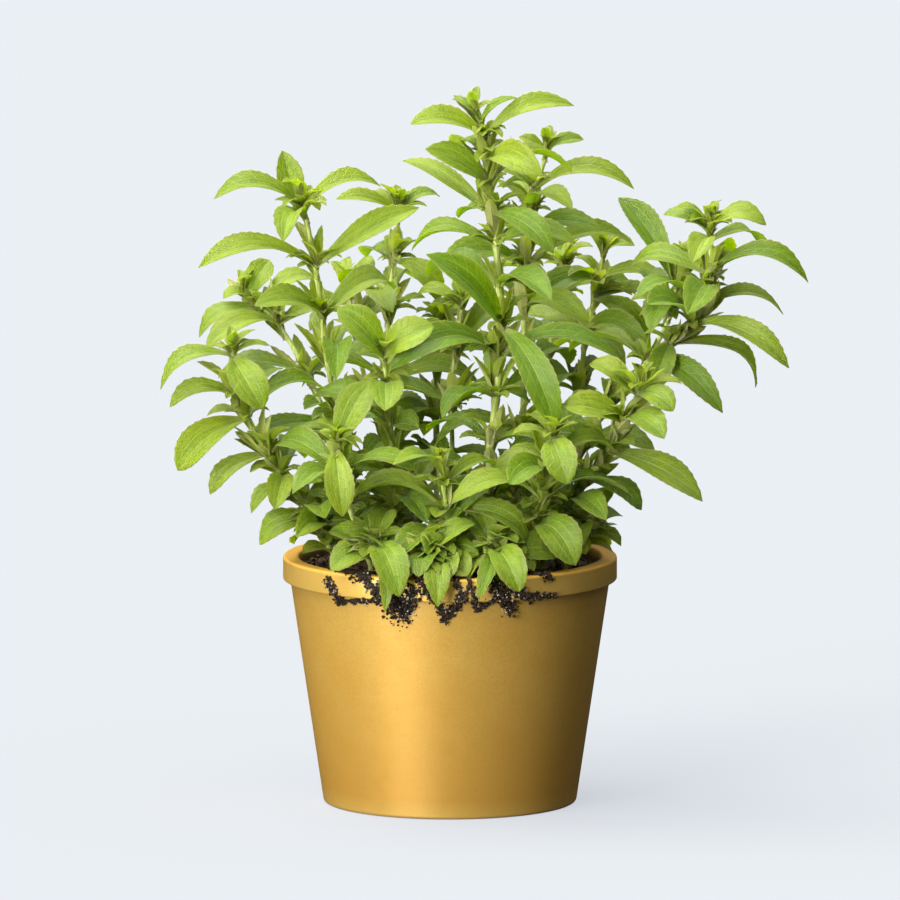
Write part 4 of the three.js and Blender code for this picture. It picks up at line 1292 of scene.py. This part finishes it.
def make_leaf_finish(name, old_green, young_green):
    """The marks on a blade are its shares along and across, and 1 below. Those on its growth are its
    youth, which is over 1 on sheath leaves, and its own lot."""
    finish, tree, skin = new_finish(name, LEAF_PLAIN)
    along, across, under = marks(tree, "blade")
    youth, lot, _ = marks(tree, "growth")
    veins = use_group(tree, VEINS, {"Along": along, "Across": across})
    streaks = use_group(tree, STREAK_PATTERN, {"Along": along, "Across": across, "Lot": lot})["Mask"]
    mottling = mottled(tree, 7.0, 1.6)
    grain = grained(tree, 0.7, 0.06)
    age = plus(tree, youth, times(tree, maths(tree, "SUBTRACT", lot, 0.5), 0.75))
    colour = blend(tree, soft_mask(tree, age, 0.0, 1.0), old_green, young_green)
    dark = blend(tree, 0.9, colour, SHADE_GREEN, "MULTIPLY")
    drifts = [(mottling, 0.4), (mottled(tree, 2.2, 2.0), 0.27), (streaks, 0.42)]
    colour = blend(tree, plus(tree, *[times(tree, *drift) for drift in drifts]), colour, dark)
    lines = maths(tree, "MAXIMUM", veins["Rib"], times(tree, veins["Veins"], 0.45))
    colour = coats(tree, colour, [
        (under, 0.6, UNDER_GREEN),
        (soft_mask(tree, youth, 1.0, 1.6), 0.75, SHEATH_PALE),
        (lines, 0.5, VEIN_GREEN),
        (veins["Net"], 0.1, VEIN_GREEN),
        (fade(tree, along, 0.0, 0.24), 0.65, PALE_BASE),
        (soft_mask(tree, maths(tree, "ABSOLUTE", across), 0.88, 1.0), 0.5, EDGE_BROWN),
    ])
    rough = soft_mask(tree, plus(tree, under, times(tree, mottling, 0.5)), 0, 1.2, 0.34, 0.56)
    sunk = plus(tree, lines, times(tree, veins["Net"], 0.2))
    raised_below = maths(tree, "SUBTRACT", times(tree, under, 2.0), 1.0)
    height = plus(tree, times(tree, sunk, raised_below), times(tree, grain["Height"], 0.22))
    join_up(tree, skin, colour, rough, height, LEAF_BUMP, 0.8)
    return finish


# %% [markdown]
# ## The stem's skin
#
# A stem is paler than its leaves, with long streaks of a lighter green, and the foot of an old one turns
# brown and woody. Noise that is squeezed along the stem draws the streaks. An unwrapped picture would
# need a seam down every stem.

# %% The stem finish
STEM_GREEN = (0.50, 0.64, 0.12)
STEM_PALE = (0.76, 0.84, 0.32)
STEM_WOODY = (0.30, 0.27, 0.10)
STEM_BUMP = 0.0002


def make_stem_finish():
    """Pale green with long streaks, browner at the foot. The hairs share it."""
    finish, tree, skin = new_finish("stem skin", {})
    _, along, _ = marks(tree, "growth")
    stretched = put(tree, "Mapping", {"Vector": places(tree), "Scale": (1, 1, 0.12)}).outputs[0]
    streaks = put(tree, "TexNoise", {"Vector": stretched, "Scale": 1400.0, "Detail": 3.0}).outputs[0]
    mottling = mottled(tree, 9.0, 1.5)
    colour = blend(tree, soft_mask(tree, streaks, 0.4, 0.65), STEM_GREEN, STEM_PALE)
    woody = times(tree, fade(tree, along, 0.0, 0.3), mottling)
    colour = coats(tree, colour, [(woody, 0.7, STEM_WOODY)])
    join_up(tree, skin, colour, soft_mask(tree, mottling, 0, 1, 0.45, 0.62), streaks, STEM_BUMP, 0.6)
    return finish


# %% Dress the plants
LEAF_SKIN = make_leaf_finish("leaf skin", (0.155, 0.285, 0.003), (0.34, 0.46, 0.03))
YOUNG_SKIN = make_leaf_finish("young leaf skin", (0.150, 0.285, 0.003), (0.31, 0.46, 0.028))
STEM_SKIN = make_stem_finish()

total = 0
for number, plant in enumerate(PLANTS):
    total += dress_plant(plant, number, YOUNG_SKIN if plant["young"] else LEAF_SKIN, STEM_SKIN)
print(len(PLANTS), "plants dressed with", total, "faces")

# %% [markdown]
# ## The pot
#
# A tapered pot with a collar, glazed in gold lustre. It was turned on a wheel, so the mesh is one too:
# an outline goes round the axis. Every corner of the outline is rounded off by an arc, because glaze
# never leaves a sharp edge and a rounded edge catches a line of light.

# %% The pot's outline
POT_HEIGHT = 104
RIM_RADIUS = 70
COLLAR_HEIGHT = 9.7
COLLAR_STEP = 3
FOOT_RADIUS = 53
WALL_THICKNESS = 5
RIM_THICKNESS = 6.7
FLOOR_THICKNESS = 6
BODY_TOP = POT_HEIGHT - COLLAR_HEIGHT
ARC_STEPS = 5
WALL_STEPS = 14
LONG_STRETCH = 20


def inner_radius(z):
    body = FOOT_RADIUS + (RIM_RADIUS - COLLAR_STEP - FOOT_RADIUS) * (z / BODY_TOP)
    return np.minimum(body - WALL_THICKNESS, RIM_RADIUS - RIM_THICKNESS)


# The outline's corners as radius, height, size of the rounding, and whether it lies inside.
POT_CORNERS = [
    (0, 0, 0, 0),
    (FOOT_RADIUS, 0, 1.4, 0),
    (RIM_RADIUS - COLLAR_STEP, BODY_TOP, 0.5, 0),
    (RIM_RADIUS, BODY_TOP, 0.6, 0),
    (RIM_RADIUS, POT_HEIGHT, 1.3, 0),
    (RIM_RADIUS - RIM_THICKNESS, POT_HEIGHT, 1.3, 1),
    (inner_radius(BODY_TOP), BODY_TOP, 0.8, 1),
    (inner_radius(FLOOR_THICKNESS), FLOOR_THICKNESS, 2.5, 1),
    (0, FLOOR_THICKNESS, 0, 1),
]


def rounded_outline(corners):
    """Points along the outline with every corner rounded, as radius, height, inside and edge."""
    spots = np.array([corner[:2] for corner in corners], float)
    outline = [(*spots[0], corners[0][3], 0)]
    for k in range(1, len(corners) - 1):
        size, inside = corners[k][2:]
        before = spots[k] + unit(spots[k - 1] - spots[k]) * size
        after = spots[k] + unit(spots[k + 1] - spots[k]) * size
        for t in np.linspace(0, 1, ARC_STEPS):
            spot = (1 - t) ** 2 * before + 2 * t * (1 - t) * spots[k] + t**2 * after
            outline.append((*spot, inside, 1))
    return [*outline, (*spots[-1], corners[-1][3], 0)]


def with_wall_steps(outline):
    """The outline with long stretches cut into short ones, so that no face is long and thin."""
    filled = [outline[0]]
    for start, end in zip(outline, outline[1:]):
        start, end = np.array(start), np.array(end)
        steps = WALL_STEPS if np.linalg.norm((end - start)[:2]) > LONG_STRETCH else 1
        for t in np.arange(1, steps + 1) / steps:
            spot = start + (end - start) * t
            edge = spot[3] if t == 1 or steps == 1 else 0
            filled.append((spot[0], spot[1], end[2], edge))
    return np.array(filled)


# %% The pot's mesh
POT_SEGMENTS = 192


def build_pot(finish):
    outline = with_wall_steps(rounded_outline(POT_CORNERS))
    rows = outline[1:-1]
    turn = 2 * np.pi * np.arange(POT_SEGMENTS) / POT_SEGMENTS
    circle = np.stack([np.cos(turn), np.sin(turn), np.ones(POT_SEGMENTS)], axis=1)
    rings = circle * rows[:, None, [0, 0, 1]]
    points = np.vstack([[0, 0, outline[0][1]], rings.reshape(-1, 3), [0, 0, outline[-1][1]]])
    marks_of_rows = np.stack([rows[:, 2], rows[:, 3], rows[:, 1] / POT_HEIGHT], axis=1)
    glaze = np.vstack([[0, 0, 0], np.repeat(marks_of_rows, POT_SEGMENTS, axis=0), [1, 0, 0]])
    heap = Heap()
    heap.add(points, turned_faces(len(rows), POT_SEGMENTS), glaze=glaze)
    return add_piece("pot_glazed", heap, finish, "pot")


# %% [markdown]
# ## The glaze
#
# Lustre is a thin film of metal fired over the glaze, so this finish is part metal, save on the top of the
# rim: it mirrors the lamp in its own gold, spread wide by a satin skin, and goes dark where nothing lights
# it. A clear coat over it adds the pale middle of the bright band. Its colour drifts in slow patches,
# thins to a lighter tone on the edges, grows darker towards the foot, and carries a few dark specks. The
# top of the rim carries painted light, a lighter gold that reads as lit where the leaves shade it. Inside,
# the wall is painted a dark brown, as painted shade for the inside of the pot. The foot is bare clay,
# where the pot stood in the kiln.

# %% The glaze finish
GOLD = (0.90, 0.535, 0.10)
GOLD_LIGHT = (0.98, 0.66, 0.17)
GOLD_DARK = (0.68, 0.36, 0.06)
# Painted light: a lighter gold for the top of the rim, where the leaves shade it.
RIM_PAINTED_LIGHT_GOLD = (0.98, 0.50, 0.06)
GOLD_SPECK = (0.36, 0.19, 0.03)
# Painted shade: a dark brown for the inside wall of the pot.
INSIDE_PAINTED_SHADE = (0.26, 0.16, 0.06)
BARE_CLAY = (0.50, 0.30, 0.18)
LUSTRE = 0.45
GLAZE_BUMP = 0.0002
GLAZE_PLAIN = {"Specular IOR Level": 0.4, "Coat Roughness": 0.3}


def turning_marks(tree):
    """Fine level lines round the pot, left by the wheel: noise that is stretched sideways."""
    stretched = put(tree, "Mapping", {"Vector": places(tree), "Scale": (0.1, 0.1, 1)}).outputs[0]
    return put(tree, "TexNoise", {"Vector": stretched, "Scale": 420.0, "Detail": 2.0}).outputs[0]


def make_glaze():
    """The marks on the glaze are 1 inside the pot, 1 on its rounded edges, and the height up to 1."""
    finish, tree, skin = new_finish("gold lustre glaze", GLAZE_PLAIN)
    inside, edge, height = marks(tree, "glaze")
    quick = mottled(tree, 5.0, 1.3)
    grain = grained(tree, 1.1, 0.05)
    # The top of the rim carries painted light: a lighter gold, so that it reads as lit where the leaves
    # shade it.
    rim = soft_mask(tree, height, 0.985, 1.0)
    # Painted shade: the inside wall below the rim is painted a dark brown, for the shade inside the pot.
    inside_shade = times(tree, inside, fade(tree, height, 0.96, 1.0))
    bare = fade(tree, height, 0.0, 0.012)
    colour = coats(tree, GOLD, [
        (mottled(tree, 24.0, 2.2), 0.8, GOLD_LIGHT),
        (quick, 0.25, GOLD_DARK),
        (soft_mask(tree, grain["Height"], 0.35, 0.65), 0.3, GOLD_DARK),
        # The colour grows darker towards the foot.
        (fade(tree, height, 0.0, 0.9), 0.8, GOLD_DARK),
        (edge, 0.5, GOLD_LIGHT),
        (rim, 0.8, RIM_PAINTED_LIGHT_GOLD),
        (grain["Specks"], 0.35, GOLD_SPECK),
        (inside_shade, 1, INSIDE_PAINTED_SHADE),
        (bare, 1, BARE_CLAY),
    ])
    matt = maths(tree, "MAXIMUM", bare, inside_shade)
    plain = maths(tree, "MAXIMUM", matt, rim)
    tree.links.new(soft_mask(tree, plain, 0, 1, LUSTRE, 0.0), skin["Metallic"])
    tree.links.new(soft_mask(tree, rim, 0, 1, 0.6, 0.1), skin["Coat Weight"])
    rough = plus(tree, soft_mask(tree, quick, 0, 1, 0.36, 0.47), times(tree, matt, 0.3))
    relief = plus(tree, times(tree, turning_marks(tree), 0.5), times(tree, grain["Height"], 0.25))
    join_up(tree, skin, colour, rough, relief, GLAZE_BUMP, 0.35)
    return finish


print("pot", build_pot(make_glaze()), "faces", [round(v / MM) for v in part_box("pot")[1]], "mm")

# %% [markdown]
# ## The soil
#
# Potting soil is dark and crumbly, with pale grains of perlite and slivers of bark. A bump alone would
# look like a rug, so the bed is a mesh pushed up and down by noise, and on it lie crumbs: small lumpy
# shapes of a few faces each, thrown down by repeatable dice. Streaks of darker clots of soil lie on the
# front of the rim.

# %% The bed of soil
SOIL_EDGE = 98.5
SOIL_CROWN = 101.5
SOIL_ROUGHNESS = 0.9
SOIL_GAP = 0.35
BED_RINGS = 46
BED_SEGMENTS = 132
LUMP_SIZE = 0.35
LUMP_HEIGHT = 0.8
LUMP_NOISE = (0.6, 2.2, 4)
BED_LOT = 0.4
SOIL, BARK, PERLITE = 0.0, 0.5, 1.0


def soil_height(x, y):
    """A low mound with gentle waves, the same as on the solid."""
    out = np.hypot(x, y) / inner_radius(SOIL_EDGE)
    mound = SOIL_EDGE + (SOIL_CROWN - SOIL_EDGE) * (1 - out**2)
    bumps = np.sin(0.31 * x + 1.3) * np.cos(0.27 * y - 0.4) + 0.6 * np.sin(0.53 * y + 0.21 * x)
    return mound + SOIL_ROUGHNESS * bumps * (1 - out**4)


def lumpy_height(x, y):
    lumps = noise.fractal(Vector((x * LUMP_SIZE, y * LUMP_SIZE, 2.0)), *LUMP_NOISE)
    return soil_height(x, y) + LUMP_HEIGHT * lumps


def build_bed(finish):
    """From the middle of the top out to the wall, and down to the pot's floor."""
    top = inner_radius(SOIL_EDGE) - SOIL_GAP
    base = FLOOR_THICKNESS + SOIL_GAP
    radii = [*np.linspace(top / BED_RINGS, top, BED_RINGS), inner_radius(base) - SOIL_GAP]
    points = [[0, 0, lumpy_height(0, 0)]]
    for number, radius in enumerate(radii):
        for turn in 2 * np.pi * np.arange(BED_SEGMENTS) / BED_SEGMENTS:
            x, y = radius * math.cos(turn), radius * math.sin(turn)
            points.append([x, y, lumpy_height(x, y) if number < BED_RINGS else base])
    points.append([0, 0, base])
    heap = Heap()
    faces = turned_faces(len(radii), BED_SEGMENTS, downward=True)
    heap.add(np.array(points), faces, crumb=(BED_LOT, 0.0, SOIL))
    return add_piece("soil_bed", heap, finish, "soil")


# %% Crumbs, perlite and bark
# What is thrown on the bed: how many, their smallest and largest size, their stretch, and the kind.
THROWS = [
    (1250, (0.5, 1.8), (1, 0.85, 0.7), SOIL),
    (70, (0.6, 1.3), (1, 0.9, 0.8), PERLITE),
    (70, (1.2, 2.8), (1, 0.35, 0.15), BARK),
]
SMALL_MORE = 2.2
WALL_CLEARANCE = 1.5
RAGGED = (0.72, 1.15)
LARGE_SIZE = 1.1
SUNK_SHARE = 0.35


def round_shape(cuts):
    shape = bmesh.new()
    bmesh.ops.create_icosphere(shape, subdivisions=cuts, radius=1)
    points = np.array([v.co for v in shape.verts])
    faces = [[v.index for v in face.verts] for face in shape.faces]
    shape.free()
    return points, faces


SMALL_LUMP = round_shape(1)
LARGE_LUMP = round_shape(2)


def turned(points, dice):
    """The points turned every way at once, by a random square set of directions."""
    directions, _ = np.linalg.qr(dice.normal(size=(3, 3)))
    directions[0] *= np.sign(np.linalg.det(directions))
    return points @ directions


def size_between(sizes, power, dice):
    """A size from the smallest to the largest, with small ones more common at a higher power."""
    return dice.uniform() ** power * (sizes[1] - sizes[0]) + sizes[0]


def add_lump(heap, spot, size, stretch, dice, tint):
    points, faces = LARGE_LUMP if size > LARGE_SIZE else SMALL_LUMP
    ragged = points * dice.uniform(*RAGGED, (len(points), 1)) * np.array(stretch)
    heap.add(spot + size * turned(ragged, dice), faces, crumb=tint)


def scatter(heap, count, sizes, stretch, kind, dice):
    for _ in range(count):
        radius = (inner_radius(SOIL_EDGE) - WALL_CLEARANCE) * math.sqrt(dice.uniform())
        turn = dice.uniform(0, 2 * math.pi)
        x, y = radius * math.cos(turn), radius * math.sin(turn)
        size = size_between(sizes, SMALL_MORE, dice)
        spot = np.array([x, y, soil_height(x, y) + SUNK_SHARE * size])
        add_lump(heap, spot, size, stretch, dice, (dice.uniform(), 0.0, kind))


# %% Soil clots on the rim
# Each streak of soil runs from one place to another and has a width, in mm. A place is its x
# and its way over the rim: the distance from the inner edge, across the top and down the front.
STREAKS = [
    (-51, 11, -46, 19, 3.5),
    (-46, 19, -29, 17, 2.2),
    (-47, 2, -36, 6, 5),
    (-38, 4, -29, 15, 4),
    (-27, 10, -22, 21, 8),
    (-16, 12, -19, 23, 6),
    (-12, 8, -3, 22, 2.8),
    (-2, 24, 5, 15, 3.6),
    (6, 15, 2, 6, 2.2),
    (8, 8, 11, 19, 2.4),
    (11, 20, 18, 16, 2.4),
    (19, 8, 25, 20, 5.5),
    (24, 9, 32, 15, 4),
    (31, 15, 43, 16, 2.6),
    (35, 3, 42, 8, 3),
]
STREAK_CRUMBS_PER_MM2 = 4.4
STREAK_SIZE = (0.3, 1.05)
STREAK_MORE = 2
STREAK_STRETCH = (1, 0.85, 0.7)
STREAK_RAGGED = 3.2
STREAK_SWELL = 0.28
STREAK_PROUD = 0.3
KIND_CHANCES = [0.74, 0.06, 0.20]
PERLITE_LARGEST = 0.7
SOIL_DICE = 41


def rim_spot(x, way, proud):
    """A point on the pot's front: way is the distance from the inner edge, over the rim and down."""
    if way < RIM_THICKNESS:
        radius = RIM_RADIUS - RIM_THICKNESS + way
        z = POT_HEIGHT + proud
    else:
        z = POT_HEIGHT - (way - RIM_THICKNESS)
        radius = RIM_RADIUS if z > BODY_TOP else inner_radius(z) + WALL_THICKNESS
        radius += proud
    return np.array([x, -math.sqrt(radius**2 - x**2), z])


def lay_rim_clots(heap, dice):
    """Streaks of darker soil on the rim, ragged at their edges and thicker in the wide ones."""
    for x, way, end_x, end_way, width in STREAKS:
        length = math.hypot(end_x - x, end_way - way)
        for _ in range(int(STREAK_CRUMBS_PER_MM2 * (length + width) * width)):
            t = dice.uniform(-0.1, 1.1)
            aside = dice.normal(size=2) * width / STREAK_RAGGED
            size = size_between(STREAK_SIZE, STREAK_MORE, dice)
            proud = STREAK_PROUD * size + STREAK_SWELL * width * dice.uniform() ** 3
            place = (x + (end_x - x) * t + aside[0], max(0.3, way + (end_way - way) * t + aside[1]))
            kind = float(dice.choice([SOIL, BARK, PERLITE], p=KIND_CHANCES))
            tint = (dice.uniform(), 1.0, SOIL if size > PERLITE_LARGEST else kind)
            add_lump(heap, rim_spot(*place, proud), size, STREAK_STRETCH, dice, tint)


def build_crumbs(finish):
    dice = np.random.default_rng(SOIL_DICE)
    heap = Heap()
    lay_rim_clots(heap, dice)
    for count, sizes, stretch, kind in THROWS:
        scatter(heap, count, sizes, stretch, kind, dice)
    return add_piece("soil_crumbs", heap, finish, "soil")


# %% [markdown]
# ## The soil's colours
#
# Every crumb is a slightly different brown, the ones on the rim are darker, and perlite and bark have
# colours of their own. A material for each would do. One is simpler, because each crumb carries marks that
# tell the shader its lot, whether it lies on the rim, and its kind.

# %% The soil finish
SOIL_DARK = (0.028, 0.016, 0.010)
SOIL_BROWN = (0.17, 0.088, 0.050)
# A darker tint for the crumbs on the rim.
RIM_CLOT_DARKENING = (0.36, 0.38, 0.42)
BARK_BROWN = (0.16, 0.085, 0.045)
PERLITE_PALE = (0.62, 0.58, 0.50)
SOIL_BUMP = 0.0004


def make_soil_finish():
    """The first mark of a crumb is its lot. The second is 1 on the crumbs on the rim, which are darker.
    The third tells soil at 0, bark at a half and perlite at 1."""
    finish, tree, skin = new_finish("potting soil", {})
    lot, on_rim, kind = marks(tree, "crumb")
    quick = mottled(tree, 2.5, 2.0)
    grain = grained(tree, 0.5, 0.2)
    share = times(tree, plus(tree, quick, lot), 0.5)
    colour = blend(tree, soft_mask(tree, share, 0.2, 0.9), SOIL_DARK, SOIL_BROWN)
    # The crumbs on the rim are darker.
    colour = blend(tree, on_rim, colour, RIM_CLOT_DARKENING, "MULTIPLY")
    colour = coats(tree, colour, [
        (grain["Specks"], 0.5, BARK_BROWN),
        (soft_mask(tree, kind, 0.3, 0.45), 1, BARK_BROWN),
        (soft_mask(tree, kind, 0.7, 0.9), 1, PERLITE_PALE),
    ])
    join_up(tree, skin, colour, soft_mask(tree, quick, 0, 1, 0.6, 0.9), grain["Height"], SOIL_BUMP, 0.9)
    return finish


soil_finish = make_soil_finish()
print("soil bed", build_bed(soil_finish), "faces, crumbs", build_crumbs(soil_finish), "faces")

# %% [markdown]
# ## The floor
#
# The floor is one large pale plane. It glows a little by itself, like the top of a light table, which
# keeps the shadow faint under a strong lamp. It isn't part of the object, so it is not attached to the
# object's body.

# %% The floor
FLOOR_SIZE = 80
FLOOR_COLOUR = (0.79, 0.83, 0.91)
FLOOR_SHARE = 0.18
FLOOR_GLOW = 0.685
FLOOR_PLAIN = {
    "Base Color": (*[FLOOR_SHARE * part for part in FLOOR_COLOUR], 1),
    "Emission Color": (*FLOOR_COLOUR, 1),
    "Emission Strength": FLOOR_GLOW,
    "Roughness": 0.9,
    "Specular IOR Level": 0.0,
}


def add_floor():
    half = FLOOR_SIZE / 2
    corners = [(-half, -half, 0), (half, -half, 0), (half, half, 0), (-half, half, 0)]
    mesh = bpy.data.meshes.new("floor")
    mesh.from_pydata(corners, [], [(0, 1, 2, 3)])
    mesh.materials.append(new_finish("pale floor", FLOOR_PLAIN)[0])
    floor = bpy.data.objects.new("floor", mesh)
    scene.collection.objects.link(floor)
    floor.visible_diffuse = False
    floor.visible_glossy = False
    floor.visible_shadow = False
    return FLOOR_SIZE


print("floor", add_floor(), "m wide")
